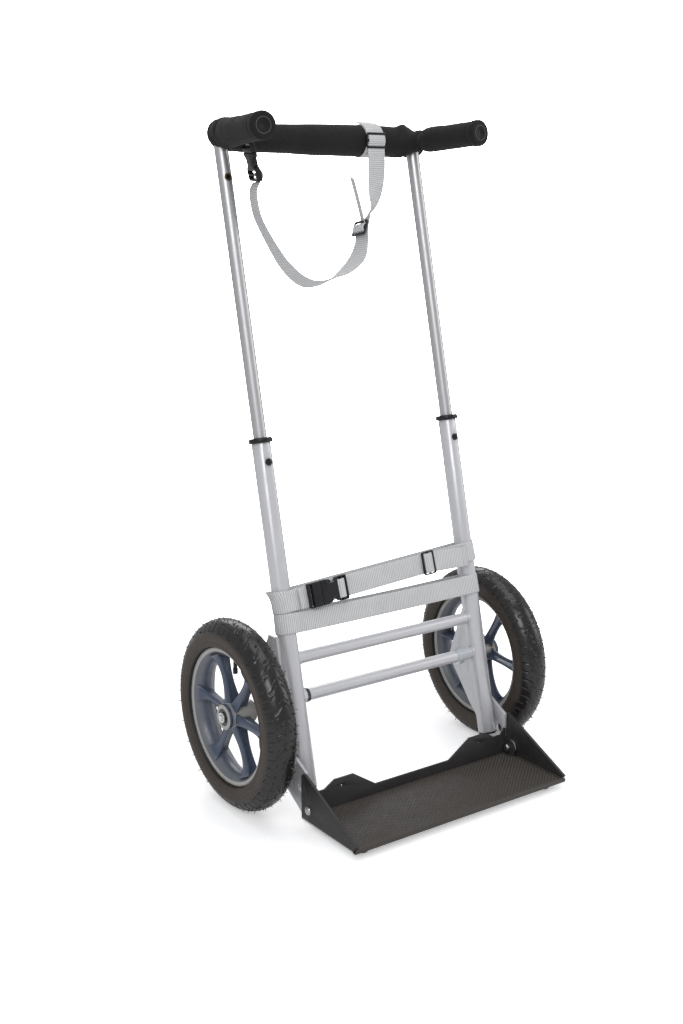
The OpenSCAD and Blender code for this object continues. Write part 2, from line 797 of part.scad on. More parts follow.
module sling_strap() {
    last = len(sling_route) - 1;
    points = [for (i = [0:last]) each sling_ring(i)];
    walls = [for (i = [0:last - 1], k = [0:3])
        let (a = 4 * i + k, b = 4 * i + (k + 1) % 4) each [[a, b, b + 4], [a, b + 4, a + 4]]];
    color(web_grey) {
        polyhedron(points = points,
            faces = concat(walls, [[3, 2, 1, 0]], [[for (k = [0:3]) 4 * last + k]]));
        translate([sling_x - webbing_w / 2, base_y + crossbar_y, crossbar_z]) rotate([0, 90, 0])
            ring(sling_r + webbing_t, sling_r, webbing_w);
    }
}

module sling_tension_lock() {
    color(plastic) translate([sling_x, base_y + crossbar_y - sling_r - webbing_t - gap, crossbar_z])
        slider_plate();
}

module sling_slider() {
    color(plastic) translate(sling_point(5)) rotate([0, 0, -93]) rotate([-20, -9, 0])
        translate([0, -3.8, 0]) slider_plate();
}

// Frame of the sling's buckle, which hangs under the left corner with its bar at the bottom.
module sling_buckle_place() {
    translate(sling_point(len(sling_route) - 1)) rotate([0, -14, 0]) rotate([0, 0, 78])
        translate([0, buckle_t / 2, 2.5]) children();
}

// Short webbing tab from the padding to the buckle's male half.
module sling_tab() {
    color(web_grey) sling_buckle_place()
        translate([-12, -buckle_t / 2 - webbing_t / 2, sling_socket_l + sling_plug_l + gap + 0.3])
        cube([24, webbing_t, 5]);
}

upright_tube(left);  // left_upright_tube
upright_tube(right);  // right_upright_tube
crossbar_at(upper_crossbar_at);  // upper_crossbar
crossbar_at(lower_crossbar_at);  // lower_crossbar
crossbar_sleeves();
side_plate(left);  // left_side_plate
side_plate(right);  // right_side_plate
axle_receivers();
slide_collar(left);  // left_slide_collar
slide_collar(right);  // right_slide_collar
lock_clips();
tube_foot_plugs();
axle(left);  // left_axle
axle(right);  // right_axle
release_spring(left);  // left_release_spring
release_spring(right);  // right_release_spring
release_button(left);  // left_release_button
release_button(right);  // right_release_button
lock_button(left);  // left_lock_button
lock_button(right);  // right_lock_button
handle_tube(left);  // left_handle_tube
handle_tube(right);  // right_handle_tube
handle_crossbar();
corner_joints();
grip_tubes();
crossbar_foam();
corner_wrap(left);  // left_corner_wrap
corner_wrap(right);  // right_corner_wrap
grip_foam(left);  // left_grip_foam
grip_foam(right);  // right_grip_foam
grip_caps();
handle_glides();
toe_base_plate();
toe_tray();
toe_mat();
toe_feet();
tray_rivets();
pivot_bolts();
pivot_nuts();
rim(left);  // left_rim
rim(right);  // right_rim
tyre(left);  // left_tyre
tyre(right);  // right_tyre
inner_tube(left);  // left_inner_tube
inner_tube(right);  // right_inner_tube
bearings(left);  // left_bearings
bearings(right);  // right_bearings
valve(left);  // left_valve
valve(right);  // right_valve
upper_band();
lower_band();
band_slider();
color(plastic) band_buckle_place() buckle_socket(band_socket_l);  // band_buckle_socket
color(plastic) band_buckle_place() buckle_plug(band_socket_l, band_plug_l);  // band_buckle_plug
sling_strap();
sling_tab();
sling_tension_lock();
sling_slider();
color(plastic) sling_buckle_place() buckle_socket(sling_socket_l);  // sling_buckle_socket
color(plastic) sling_buckle_place() buckle_plug(sling_socket_l, sling_plug_l);  // sling_buckle_plug
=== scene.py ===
"""Looks of the leaning hand trolley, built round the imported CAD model."""

import json
from math import atan2, copysign, cos, exp, pi, radians, sin, tan

import bmesh
import bpy
import numpy as np
from mathutils import Matrix, Vector, noise


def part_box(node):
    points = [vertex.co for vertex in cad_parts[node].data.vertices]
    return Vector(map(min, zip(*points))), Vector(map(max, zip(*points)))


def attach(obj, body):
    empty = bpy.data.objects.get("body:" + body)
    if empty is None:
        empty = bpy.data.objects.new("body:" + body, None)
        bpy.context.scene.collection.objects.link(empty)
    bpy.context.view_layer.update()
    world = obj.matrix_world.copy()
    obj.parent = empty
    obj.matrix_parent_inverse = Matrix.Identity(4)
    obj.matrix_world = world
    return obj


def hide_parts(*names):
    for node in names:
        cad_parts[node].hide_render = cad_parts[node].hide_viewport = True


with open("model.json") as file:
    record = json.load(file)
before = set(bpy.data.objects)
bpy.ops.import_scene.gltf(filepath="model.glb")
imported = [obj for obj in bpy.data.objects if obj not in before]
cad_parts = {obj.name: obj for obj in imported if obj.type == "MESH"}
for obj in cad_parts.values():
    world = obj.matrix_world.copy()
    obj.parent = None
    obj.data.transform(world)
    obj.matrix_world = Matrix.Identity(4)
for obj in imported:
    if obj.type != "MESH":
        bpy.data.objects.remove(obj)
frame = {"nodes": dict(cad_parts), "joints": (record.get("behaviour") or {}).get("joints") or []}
scene = bpy.context.scene
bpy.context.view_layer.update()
NODES = frame["nodes"]
JOINTS = {j["name"]: j for j in frame["joints"]}

X = Vector((1, 0, 0))
UP = Vector(JOINTS["handle_slide"]["axis"]).normalized()
AHEAD = X.cross(UP)
LEAN = atan2(UP.y, UP.z)
SIDES = {"left": -1, "right": 1}


def centre(node):
    lo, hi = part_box(node)
    return (lo + hi) / 2


def axle_of(side):
    return Vector(JOINTS[side + "_wheel_spin"]["pos_m"])


BAR = centre("handle_crossbar")
FOOT = BAR - UP * (BAR.z / UP.z)
UPRIGHT_X = centre("right_upright_tube").x


def leaning(x, climb, ahead=0.0):
    """Point by its place on the uprights' frame: across, along the tubes, ahead of them."""
    return FOOT + X * x + UP * climb + AHEAD * ahead


def along(point):
    return (Vector(point) - FOOT).dot(UP)


def linked(name, data):
    """New object with this data, put into the scene."""
    obj = bpy.data.objects.new(name, data)
    scene.collection.objects.link(obj)
    return obj


# ---- camera ----

camera_data = bpy.data.cameras.new("camera")
camera = linked("camera", camera_data)
scene.camera = camera
camera.location = (-1.2500, -1.6569, 0.9618)
yaw, pitch = radians(35.72), radians(12.86)
view_dir = Vector((sin(yaw) * cos(pitch), cos(yaw) * cos(pitch), -sin(pitch)))
camera.rotation_mode = "QUATERNION"
camera.rotation_quaternion = view_dir.to_track_quat("-Z", "Y")
camera_data.lens = 46.37
camera_data.sensor_width = 36
camera_data.shift_x = -0.0155
camera_data.shift_y = -0.0165
camera_data.clip_start, camera_data.clip_end = 0.05, 60

# ---- node material helpers ----


class Mat:
    """A material with a Principled shader and short ways to add nodes to it."""

    def __init__(self, name, rough=0.5, metallic=0.0, **sockets):
        self.mat = bpy.data.materials.new(name)
        self.mat.use_nodes = True
        self.tree = self.mat.node_tree
        self.shader = self.tree.nodes["Principled BSDF"]
        self.set(Roughness=rough, Metallic=metallic, **sockets)
        self.coords = self.node("TexCoord").outputs
        self.normal = None

    def feed(self, socket, value):
        """Links a node's output to the socket, or sets the socket's value."""
        if isinstance(value, bpy.types.NodeSocket):
            self.tree.links.new(value, socket)
        else:
            socket.default_value = value

    def set(self, **sockets):
        """Feeds the shader's sockets, named with _ for a space."""
        for key, value in sockets.items():
            self.feed(self.shader.inputs[key.replace("_", " ")], value)

    def node(self, kind, **inputs):
        node = self.tree.nodes.new("ShaderNode" + kind)
        for key, value in inputs.items():
            self.feed(node.inputs[key], value)
        return node

    def math(self, op, a, b=None):
        node = self.node("Math")
        node.operation = op
        self.feed(node.inputs[0], a)
        if b is not None:
            self.feed(node.inputs[1], b)
        return node.outputs[0]

    def times(self, a, b):
        return self.math("MULTIPLY", a, b)

    def place(self, scale=(1, 1, 1), rotate=(0, 0, 0), move=(0, 0, 0)):
        vector = self.coords["Object"]
        return self.node("Mapping", Scale=scale, Rotation=rotate, Location=move, Vector=vector).outputs[0]

    def noise(self, scale, detail=3.0, rough=0.55, vector=None):
        vector = vector or self.coords["Object"]
        node = self.node("TexNoise", Scale=scale, Detail=detail, Roughness=rough, Vector=vector)
        return node.outputs["Fac"]

    def cells(self, scale):
        return self.node("TexVoronoi", Scale=scale, Vector=self.coords["Object"]).outputs["Distance"]

    def ramp(self, fac, *stops):
        """Grey level from fac, by two stops of (place, level)."""
        node = self.node("ValToRGB", Fac=fac)
        for element, (place, level) in zip(node.color_ramp.elements, stops):
            element.position = place
            element.color = (level, level, level, 1)
        return node.outputs[0]

    def mix(self, fac, a, b):
        node = self.node("Mix")
        node.data_type = "RGBA"
        self.feed(node.inputs[0], fac)
        for socket, colour in zip(node.inputs[6:8], (a, b)):  # its two colour sockets
            self.feed(socket, colour if isinstance(colour, bpy.types.NodeSocket) else (*colour, 1))
        return node.outputs[2]

    def specks(self, base, where, amount, colour):
        """Colours the shader with a base and an amount of specks on it."""
        self.set(Base_Color=self.mix(self.times(where, amount), base, colour))

    def split(self, vector):
        return self.node("SeparateXYZ", Vector=vector).outputs

    def bump(self, height, distance, strength=1.0):
        node = self.node("Bump", Strength=strength, Distance=distance, Height=height)
        if self.normal is not None:
            self.feed(node.inputs["Normal"], self.normal)
        self.normal = node.outputs[0]
        self.set(Normal=self.normal)

    def colour(self, source):
        self.set(Base_Color=source)

    def rough(self, source):
        self.set(Roughness=source)

    def hypot(self, a, b):
        return self.math("SQRT", self.math("ADD", self.times(a, a), self.times(b, b)))

    def radius_from(self, axle):
        """Distance from an axle that lies along X."""
        _, y, z = self.split(self.place(move=(0, -axle.y, -axle.z)))
        return self.hypot(y, z)

    def fade(self, value, start, length, *stops):
        """Ramp over a value, with its stops as parts of the length from start on."""
        return self.ramp(self.times(self.math("SUBTRACT", value, start), 1 / length), *stops)


TUBE_TURN = (LEAN, 0, 0)  # brings a leaning tube's line onto the texture's Z


def silver_paint():
    m = Mat("silver_paint", metallic=0.35)
    cloud = m.noise(9, 4, 0.6)
    flake = m.noise(2600, 1, 0.5)
    base = m.mix(cloud, (0.51, 0.51, 0.53), (0.59, 0.59, 0.61))
    sparkle = m.ramp(flake, (0.35, 0.0), (0.75, 1.0))
    m.specks(base, sparkle, 0.22, (0.74, 0.74, 0.77))
    scuff = m.ramp(m.noise(60, 6, 0.7, m.place((1, 1, 0.35), TUBE_TURN)), (0.42, 0.30), (0.70, 0.48))
    m.rough(scuff)
    m.bump(m.noise(420, 2, 0.5), 0.00006)
    m.bump(m.noise(35, 3, 0.5), 0.0002, 0.5)
    return m.mat


def drawn_alloy(name="drawn_alloy", turn=TUBE_TURN):
    m = Mat(name, metallic=0.80)
    lines = m.noise(900, 3, 0.7, m.place((1, 1, 0.012), turn))
    wear = m.noise(30, 5, 0.65, m.place((1, 1, 0.25), turn))
    m.colour(m.mix(wear, (0.465, 0.465, 0.47), (0.52, 0.52, 0.53)))
    m.rough(m.ramp(m.times(lines, wear), (0.12, 0.34), (0.45, 0.50)))
    m.bump(lines, 0.00004, 0.6)
    return m.mat


def plated_steel(name, tone, low, high):
    m = Mat(name, metallic=1.0)
    grain = m.noise(240, 5, 0.7)
    blotch = m.noise(45, 4, 0.6)
    m.colour(m.mix(blotch, (tone * 0.86, tone * 0.86, tone * 0.84), (tone * 1.1, tone * 1.1, tone * 1.12)))
    m.rough(m.ramp(grain, (0.3, low), (0.75, high)))
    m.bump(grain, 0.00005, 0.5)
    return m.mat


def moulded_plastic(name, colour, low=0.30, high=0.48, grain=0.00008):
    m = Mat(name, Specular_IOR_Level=0.28)
    cloud = m.noise(70, 4, 0.6)
    m.colour(m.mix(cloud, [c * 0.8 for c in colour], [c * 1.25 for c in colour]))
    m.rough(m.ramp(cloud, (0.3, low), (0.7, high)))
    m.bump(m.noise(1500, 2, 0.6), grain, 0.7)
    return m.mat


def powder_coat():
    m = Mat("powder_coat")
    cloud = m.noise(28, 5, 0.65)
    scratch = m.ramp(m.noise(150, 6, 0.75, m.place((1, 0.12, 1))), (0.62, 0.0), (0.70, 1.0))
    base = m.mix(cloud, (0.016, 0.015, 0.015), (0.034, 0.031, 0.030))
    m.specks(base, scratch, 0.18, (0.16, 0.155, 0.15))
    m.rough(m.ramp(cloud, (0.3, 0.42), (0.7, 0.58)))
    m.bump(m.noise(1100, 3, 0.6), 0.00012, 0.8)
    return m.mat


def soft_foam():
    m = Mat("soft_foam", rough=0.95, Sheen_Weight=0.05, Sheen_Roughness=0.5, Specular_IOR_Level=0.28)
    cloud = m.noise(22, 4, 0.6)
    base = m.mix(cloud, (0.0085, 0.0072, 0.0074), (0.0150, 0.0130, 0.0134))
    dust = m.ramp(m.noise(1700, 2, 0.7), (0.60, 0.0), (0.80, 1.0))
    m.specks(base, dust, 0.30, (0.050, 0.046, 0.046))
    m.bump(m.cells(1500), 0.0003, 0.6)
    m.bump(m.noise(1100, 3, 0.65), 0.0005, 0.6)
    m.bump(m.noise(60, 3, 0.5), 0.0012, 0.5)
    return m.mat


def mat_rubber():
    m = Mat("mat_rubber")
    cloud = m.noise(35, 4, 0.6)
    base = m.mix(cloud, (0.030, 0.025, 0.021), (0.050, 0.042, 0.036))
    dust = m.ramp(m.noise(400, 4, 0.7), (0.55, 0.0), (0.8, 1.0))
    m.specks(base, dust, 0.3, (0.12, 0.105, 0.09))
    m.rough(m.ramp(cloud, (0.3, 0.48), (0.7, 0.66)))
    m.bump(m.noise(900, 2, 0.6), 0.0001, 0.6)
    return m.mat


def tyre_rubber(name, axle):
    """Brownish matt sidewalls and a darker, glossier crown, by distance from the axle."""
    m = Mat(name)
    r = m.radius_from(axle)
    crown = m.fade(r, 0.112, 0.043, (0.42, 0.0), (0.62, 1.0))
    cloud = m.noise(30, 5, 0.65)
    side = m.mix(cloud, (0.030, 0.021, 0.015), (0.050, 0.037, 0.027))
    top = m.mix(cloud, (0.007, 0.006, 0.006), (0.015, 0.013, 0.012))
    # painted shade: a near-black ring on the tyre just outside the rim's flange, for the shadow in the gap
    # between them
    bead_gap_shade = m.fade(r, 0.1117, 0.003, (0.35, 1.0), (0.6, 0.0))
    m.colour(m.mix(bead_gap_shade, m.mix(crown, side, top), (0.004, 0.004, 0.004)))
    m.rough(m.mix(crown, m.ramp(cloud, (0.3, 0.52), (0.7, 0.68)), m.ramp(cloud, (0.3, 0.20), (0.7, 0.32))))
    m.bump(m.noise(800, 3, 0.6), 0.00006, 0.5)
    m.bump(m.noise(90, 2, 0.5), 0.00015, 0.3)
    return m.mat


def rim_nylon(name, axle):
    """Blue-grey moulding whose rim edge and hub end are light grey, by distance from the axle: on the rim
    edge partly its own lighter tone and partly a painted highlight.
    """
    m = Mat(name, Coat_Weight=0.12, Coat_Roughness=0.25)
    r = m.radius_from(axle)
    cloud = m.noise(26, 4, 0.6)
    spokes = m.mix(cloud, (0.038, 0.052, 0.088), (0.066, 0.086, 0.134))
    barrel = m.mix(cloud, (0.095, 0.105, 0.126), (0.150, 0.160, 0.182))
    # light grey for the hub end, and for the rim's lip partly its own tone and partly a painted highlight of
    # the light it catches
    edge = m.mix(cloud, (0.30, 0.29, 0.275), (0.38, 0.37, 0.35))
    outer = m.fade(r, 0.090, 0.012, (0.25, 0.0), (0.75, 1.0))
    lip_highlight = m.math("GREATER_THAN", r, 0.1045)
    hub = m.math("LESS_THAN", r, 0.0205)
    m.colour(m.mix(m.math("MAXIMUM", lip_highlight, hub), m.mix(outer, spokes, barrel), edge))
    m.rough(m.ramp(m.noise(90, 4, 0.6), (0.3, 0.28), (0.7, 0.44)))
    m.bump(m.noise(700, 2, 0.5), 0.00008, 0.6)
    m.bump(m.noise(14, 2, 0.5), 0.0008, 0.4)
    return m.mat


def bearing_seal(name, axle):
    """Ribbed black seal round a ground steel inner ring, by distance from the axle."""
    m = Mat(name)
    r = m.radius_from(axle)
    steel = m.math("LESS_THAN", r, 0.0078)
    seal = m.mix(m.noise(300), (0.010, 0.010, 0.010), (0.02, 0.02, 0.02))
    m.colour(m.mix(steel, seal, (0.55, 0.55, 0.54)))
    m.set(Metallic=steel)
    m.rough(m.ramp(m.noise(500, 2), (0.3, 0.30), (0.7, 0.42)))
    m.bump(m.math("SINE", m.times(r, 5200)), 0.00008, 0.5)
    return m.mat


def webbing():
    """Woven strap: ribs across it, and rows of small floats along it. UV is in metres."""
    rib_pitch, row_pitch = 0.0034, 0.0016
    m = Mat("webbing", rough=0.78, Sheen_Weight=0.15, Sheen_Roughness=0.4)
    u, v, _ = m.split(m.coords["UV"])
    rib = m.math("SINE", m.times(v, 2 * pi / rib_pitch))
    row = m.math("SINE", m.times(u, 2 * pi / row_pitch))
    weave = m.times(rib, m.math("ADD", m.times(row, 0.35), 0.65))
    height = m.math("ADD", m.times(weave, 0.5), 0.5)
    cloud = m.noise(40, 4, 0.6)
    base = m.mix(cloud, (0.55, 0.555, 0.565), (0.69, 0.69, 0.685))
    # painted shade: the weave's low places are coloured dark grey, for the shade in its hollows
    m.colour(m.mix(m.ramp(height, (0.05, 0.80), (0.60, 0.0)), base, (0.24, 0.25, 0.27)))
    m.bump(height, 0.0007, 0.9)
    m.bump(m.noise(1800, 2, 0.6), 0.0002, 0.5)
    return m.mat


def thread():
    m = Mat("stitching", rough=0.7)
    m.colour(m.mix(m.noise(900), (0.40, 0.41, 0.42), (0.60, 0.61, 0.61)))
    m.bump(m.noise(1500, 2), 0.0001)
    return m.mat


def sleeve_plastic():
    """Dark ring at the left end, translucent grey sleeve at the right end."""
    m = Mat("sleeve_plastic", Coat_Weight=0.3, Coat_Roughness=0.1)
    x, _, _ = m.split(m.coords["Object"])
    cloud = m.noise(70, 4, 0.6)
    grey = m.mix(cloud, (0.36, 0.38, 0.42), (0.50, 0.52, 0.56))
    m.colour(m.mix(m.math("GREATER_THAN", x, 0.0), (0.03, 0.03, 0.034), grey))
    m.rough(m.ramp(cloud, (0.3, 0.14), (0.7, 0.30)))
    m.bump(m.noise(220, 3, 0.6), 0.0002, 0.5)
    return m.mat


GLARE = 6.0  # what the camera alone sees of the white floor and backdrop


def floor_white():
    m = Mat("floor_white", rough=0.6)
    m.colour(m.mix(m.noise(3, 3), (0.90, 0.90, 0.90), (0.93, 0.93, 0.93)))
    x, y, _ = m.split(m.coords["Object"])
    glow = m.ramp(m.times(m.hypot(x, y), 0.25), (0.10, 0.06), (0.75, 1.0))
    seen = m.times(glow, m.node("LightPath").outputs["Is Camera Ray"])
    m.set(Emission_Color=(1, 1, 1, 1), Emission_Strength=m.times(seen, GLARE))
    return m.mat


# ---- mesh helpers ----


def add_mesh(name, verts, faces, material, smooth=True, uvs=None):
    mesh = bpy.data.meshes.new(name)
    mesh.from_pydata([tuple(v) for v in verts], [], faces)
    mesh.materials.append(material)
    for p in mesh.polygons:
        p.use_smooth = smooth
    if uvs is not None:
        layer = mesh.uv_layers.new(name="UVMap")
        for loop in mesh.loops:
            layer.data[loop.index].uv = uvs[loop.vertex_index]
    mesh.update()
    return linked(name, mesh)


def quads(rows, cols, rows_close=False, cols_close=True):
    """Faces between neighbours in a grid of vertices, which may close on itself both ways."""
    faces = []
    for i in range(rows if rows_close else rows - 1):
        j = (i + 1) % rows
        for k in range(cols if cols_close else cols - 1):
            n = (k + 1) % cols
            faces.append((i * cols + k, i * cols + n, j * cols + n, j * cols + k))
    return faces


def end_faces(rows, cols):
    """Faces that close the two ends of a tube of such a grid."""
    return [tuple(range(cols - 1, -1, -1)), tuple((rows - 1) * cols + k for k in range(cols))]


def mirrored(points):
    """The points on the other side of X = 0, in the order that goes on round an outline."""
    return [(-x, y) for x, y in reversed(points)]


def weld_and_turn_out(obj, distance=0.0):
    """Merges vertices closer than the distance, and turns the faces outward."""
    bm = bmesh.new()
    bm.from_mesh(obj.data)
    if distance:
        bmesh.ops.remove_doubles(bm, verts=bm.verts, dist=distance)
    bmesh.ops.recalc_face_normals(bm, faces=bm.faces)
    bm.to_mesh(obj.data)
    bm.free()


def add_solid(name, verts, faces, material, uvs=None):
    obj = add_mesh(name, verts, faces, material, uvs=uvs)
    weld_and_turn_out(obj)
    return obj


def from_bmesh(name, bm):
    mesh = bpy.data.meshes.new(name)
    bm.to_mesh(mesh)
    bm.free()
    return linked(name, mesh)


def one_smooth_material(mesh, material):
    mesh.materials.clear()
    mesh.materials.append(material)
    for p in mesh.polygons:
        p.use_smooth = True
        p.material_index = 0


def finish_piece(obj, body, slot, *nodes):
    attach(obj, body)
    if nodes:
        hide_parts(*nodes)
    return obj


def bevelled_copy(node, material, body, slot, width, segments=2):
    """Copy of a CAD node with its sharp edges rounded."""
    mesh = NODES[node].data.copy()
    obj = linked(node + "_finished", mesh)
    bm = bmesh.new()
    bm.from_mesh(mesh)
    bmesh.ops.remove_doubles(bm, verts=bm.verts, dist=1e-6)
    bmesh.ops.dissolve_limit(bm, angle_limit=radians(1), verts=bm.verts, edges=bm.edges)
    bm.to_mesh(mesh)
    bm.free()
    one_smooth_material(mesh, material)
    mod = obj.modifiers.new("round_edges", "BEVEL")
    mod.width = width
    mod.segments = segments
    mod.limit_method = "ANGLE"
    mod.angle_limit = radians(35)
    mod.harden_normals = True
    return finish_piece(obj, body, slot, node)


def dress(material, *nodes):
    """Gives CAD nodes that stay their material."""
    for node in nodes:
        data = NODES[node].data
        data.materials.clear()
        data.materials.append(material)
        for p in data.polygons:
            p.material_index = 0


def lathe(name, profile, origin, axis, material, steps):
    """Turns a closed profile of (along the axis, radius) about an axis."""
    axis = Vector(axis).normalized()
    side = axis.orthogonal().normalized()
    other = axis.cross(side)
    verts = []
    for i in range(steps):
        a = 2 * pi * i / steps
        d = side * cos(a) + other * sin(a)
        verts += [origin + axis * h + d * r for h, r in profile]
    return add_solid(name, verts, quads(steps, len(profile), rows_close=True), material)


def rounded(points, radius):
    """Closed outline with its corners rounded."""
    steps = 4
    out, n = [], len(points)
    for i in range(n):
        p, a, b = Vector(points[i]), Vector(points[i - 1]), Vector(points[(i + 1) % n])
        r = min(radius, (a - p).length * 0.45, (b - p).length * 0.45)
        start, end = p + (a - p).normalized() * r, p + (b - p).normalized() * r
        for k in range(steps + 1):
            t = k / steps
            out.append(start * (1 - t) ** 2 + p * 2 * t * (1 - t) + end * t * t)
    return out


def plate(name, loops, thickness, bevel, place, material):
    """Flat plate in the XY plane of place, with holes and rounded edges."""
    curve = bpy.data.curves.new(name, "CURVE")
    curve.dimensions = "2D"
    curve.fill_mode = "BOTH"
    curve.extrude = thickness / 2 - bevel
    curve.bevel_depth = bevel
    curve.bevel_resolution = 3
    curve.offset = -bevel
    for loop in loops:
        spline = curve.splines.new("POLY")
        spline.points.add(len(loop) - 1)
        for point, p in zip(spline.points, loop):
            point.co = (p[0], p[1], 0, 1)
        spline.use_cyclic_u = True
    temp = linked(name + "_curve", curve)
    bpy.context.view_layer.update()
    mesh = bpy.data.meshes.new_from_object(temp)
    bpy.data.objects.remove(temp)
    mesh.transform(place)
    one_smooth_material(mesh, material)
    obj = linked(name, mesh)
    weld_and_turn_out(obj, 1e-5)
    mesh.set_sharp_from_angle(angle=radians(50))
    return obj


def joined(name, objs):
    """One mesh object from several that share a frame."""
    bm = bmesh.new()
    mats = []
    for o in objs:
        mesh = o.data
        mesh.transform(o.matrix_world)
        for m in mesh.materials:
            if m not in mats:
                mats.append(m)
        for p in mesh.polygons:
            p.material_index = mats.index(mesh.materials[p.material_index])
        bm.from_mesh(mesh)
        bpy.data.objects.remove(o)
    obj = from_bmesh(name, bm)
    for m in mats:
        obj.data.materials.append(m)
    return obj


def along_z(middle, direction):
    """Matrix that puts a shape's middle at a point and its Z along the direction."""
    return Matrix.Translation(middle) @ direction.to_track_quat("Z", "Y").to_matrix().to_4x4()


def rect(w, h, middle=0.0):
    return [(sx * w / 2, middle + sy * h / 2) for sx, sy in ((-1, -1), (1, -1), (1, 1), (-1, 1))]


def smooth_line(points, spacing=0.003, fine_steps=24):
    """Catmull-Rom line through points of any dimension, at even steps along its first three."""
    pts = np.array(points, float)
    pts = np.vstack([2 * pts[0] - pts[1], pts, 2 * pts[-1] - pts[-2]])
    dense = []
    for i in range(1, len(pts) - 2):
        p0, p1, p2, p3 = pts[i - 1 : i + 3]
        for t in np.linspace(0, 1, fine_steps, endpoint=False):
            dense.append(
                0.5 * (2 * p1 + (p2 - p0) * t + (2 * p0 - 5 * p1 + 4 * p2 - p3) * t * t
                       + (3 * p1 - p0 - 3 * p2 + p3) * t ** 3))
    dense.append(pts[-2])
    dense = np.array(dense)
    length = np.concatenate([[0], np.cumsum(np.linalg.norm(np.diff(dense[:, :3], axis=0), axis=1))])
    at = np.linspace(0, length[-1], max(4, int(length[-1] / spacing)))
    return np.stack([np.interp(at, length, dense[:, k]) for k in range(dense.shape[1])], 1)


WEB_W, WEB_T = 0.034, 0.0016
SELVEDGE = 0.86  # part of a strap's half width where it starts to thin towards its edge
THINNING = 0.45  # part of its thickness that is gone at the edge


def ribbon(name, line, across, width=WEB_W, closed=False, shape=None):
    """Strap along line (points) with across, a vector or one for each point, as its width.

    shape(i, x) may return an offset for row i at place x from -1 to 1 across it.
    """
    line = [Vector(p) for p in line]
    n = len(line)
    cols = 9
    run = [0.0]
    for i in range(1, n):
        run.append(run[-1] + (line[i] - line[i - 1]).length)
    xs = [sin(pi / 2 * t) for t in np.linspace(-1, 1, cols)]
    verts, uvs = [], []
    for i in range(n):
        if closed:
            ahead = line[(i + 1) % n] - line[i - 1]
        else:
            ahead = line[min(i + 1, n - 1)] - line[max(i - 1, 0)]
        ahead.normalize()
        c = across if isinstance(across, Vector) else across[i]
        c = (c - ahead * c.dot(ahead)).normalized()
        f = ahead.cross(c)
        for sign in (1, -1):
            order = xs if sign > 0 else xs[::-1]
            for x in order:
                edge = 1 - THINNING * max(0.0, (abs(x) - SELVEDGE) / (1 - SELVEDGE)) ** 2
                off = shape(i, x) if shape else Vector()
                verts.append(line[i] + c * (x * width / 2) + f * (sign * WEB_T / 2 * edge) + off)
                uvs.append((x * width / 2, run[i]))
    ring = 2 * cols
    faces = quads(n, ring, rows_close=closed)
    if not closed:
        faces += end_faces(n, ring)
    return add_solid(name, verts, faces, web, uvs=uvs)


# ---- materials ----

paint = silver_paint()
alloy = drawn_alloy()
alloy_bar = drawn_alloy("drawn_alloy_bar", (0, radians(90), 0))
cast = plated_steel("cast_alloy", 0.42, 0.35, 0.55)
zinc = plated_steel("zinc_plate", 0.66, 0.20, 0.38)
sheet_steel = plated_steel("sheet_steel", 0.70, 0.18, 0.34)
spring_wire = plated_steel("spring_wire", 0.45, 0.22, 0.35)
black = moulded_plastic("black_plastic", (0.014, 0.014, 0.015), 0.24, 0.42)
button_black = moulded_plastic("button_plastic", (0.012, 0.012, 0.013), 0.16, 0.28, 0.00003)
sleeve = sleeve_plastic()
coat = powder_coat()
foam = soft_foam()
# lighter grey for the grip caps' thin ring: partly wear, partly a painted highlight on its raised edge
cap_ring_wear_and_highlight = moulded_plastic("cap_ring_wear_and_highlight", (0.085, 0.080, 0.080), 0.5, 0.7)
mat_black = mat_rubber()
foot_black = moulded_plastic("foot_rubber", (0.016, 0.016, 0.016), 0.5, 0.7)
tube_black = moulded_plastic("tube_rubber", (0.014, 0.014, 0.014), 0.40, 0.6)
web = webbing()
stitch = thread()

for n in ("left_upright_tube", "right_upright_tube", "left_side_plate", "right_side_plate"):
    bevelled_copy(n, paint, "frame", "frame_paint", 0.0007)
for n in ("axle_receivers", "left_axle", "right_axle"):
    bevelled_copy(n, zinc, "frame", "zinc_steel", 0.0005)
for n in ("pivot_bolts", "pivot_nuts", "tray_rivets"):
    bevelled_copy(n, zinc, "toe_plate", "zinc_steel", 0.0004)
for s in SIDES:
    bevelled_copy(s + "_slide_collar", black, "frame", "black_plastic", 0.0009, 3)
    bevelled_copy(s + "_lock_button", button_black, s + "_lock", "button_plastic", 0.0008, 3)
    bevelled_copy(s + "_release_button", zinc, s + "_release", "zinc_steel", 0.0004)
    dress(spring_wire, s + "_release_spring")
    dress(alloy, s + "_handle_tube")
    dress(tube_black, s + "_inner_tube")
    bevelled_copy(s + "_valve", black, s + "_wheel", "tube_rubber", 0.0005)
    dress(bearing_seal(s + "_bearing_seal", axle_of(s)), s + "_bearings")
dress(paint, "upper_crossbar", "lower_crossbar")
dress(sleeve, "crossbar_sleeves")
dress(spring_wire, "lock_clips")
dress(black, "tube_foot_plugs", "handle_glides")
dress(alloy_bar, "handle_crossbar", "grip_tubes")
CORNER_SIZE = 0.72  # the corners are drawn in under their padding
corners = bevelled_copy("corner_joints", cast, "handle", "cast_alloy", 0.0004)
for v in corners.data.vertices:
    at = corners.matrix_world @ v.co
    corner = Vector((copysign(UPRIGHT_X, at.x), BAR.y, BAR.z))
    v.co = corners.matrix_world.inverted() @ (corner + (at - corner) * CORNER_SIZE)
bevelled_copy("toe_base_plate", sheet_steel, "toe_plate", "base_steel", 0.0004)
bevelled_copy("toe_tray", coat, "toe_plate", "tray_coat", 0.0007)
bevelled_copy("toe_feet", foot_black, "toe_plate", "foot_rubber", 0.0008)

# ---- tyres ----

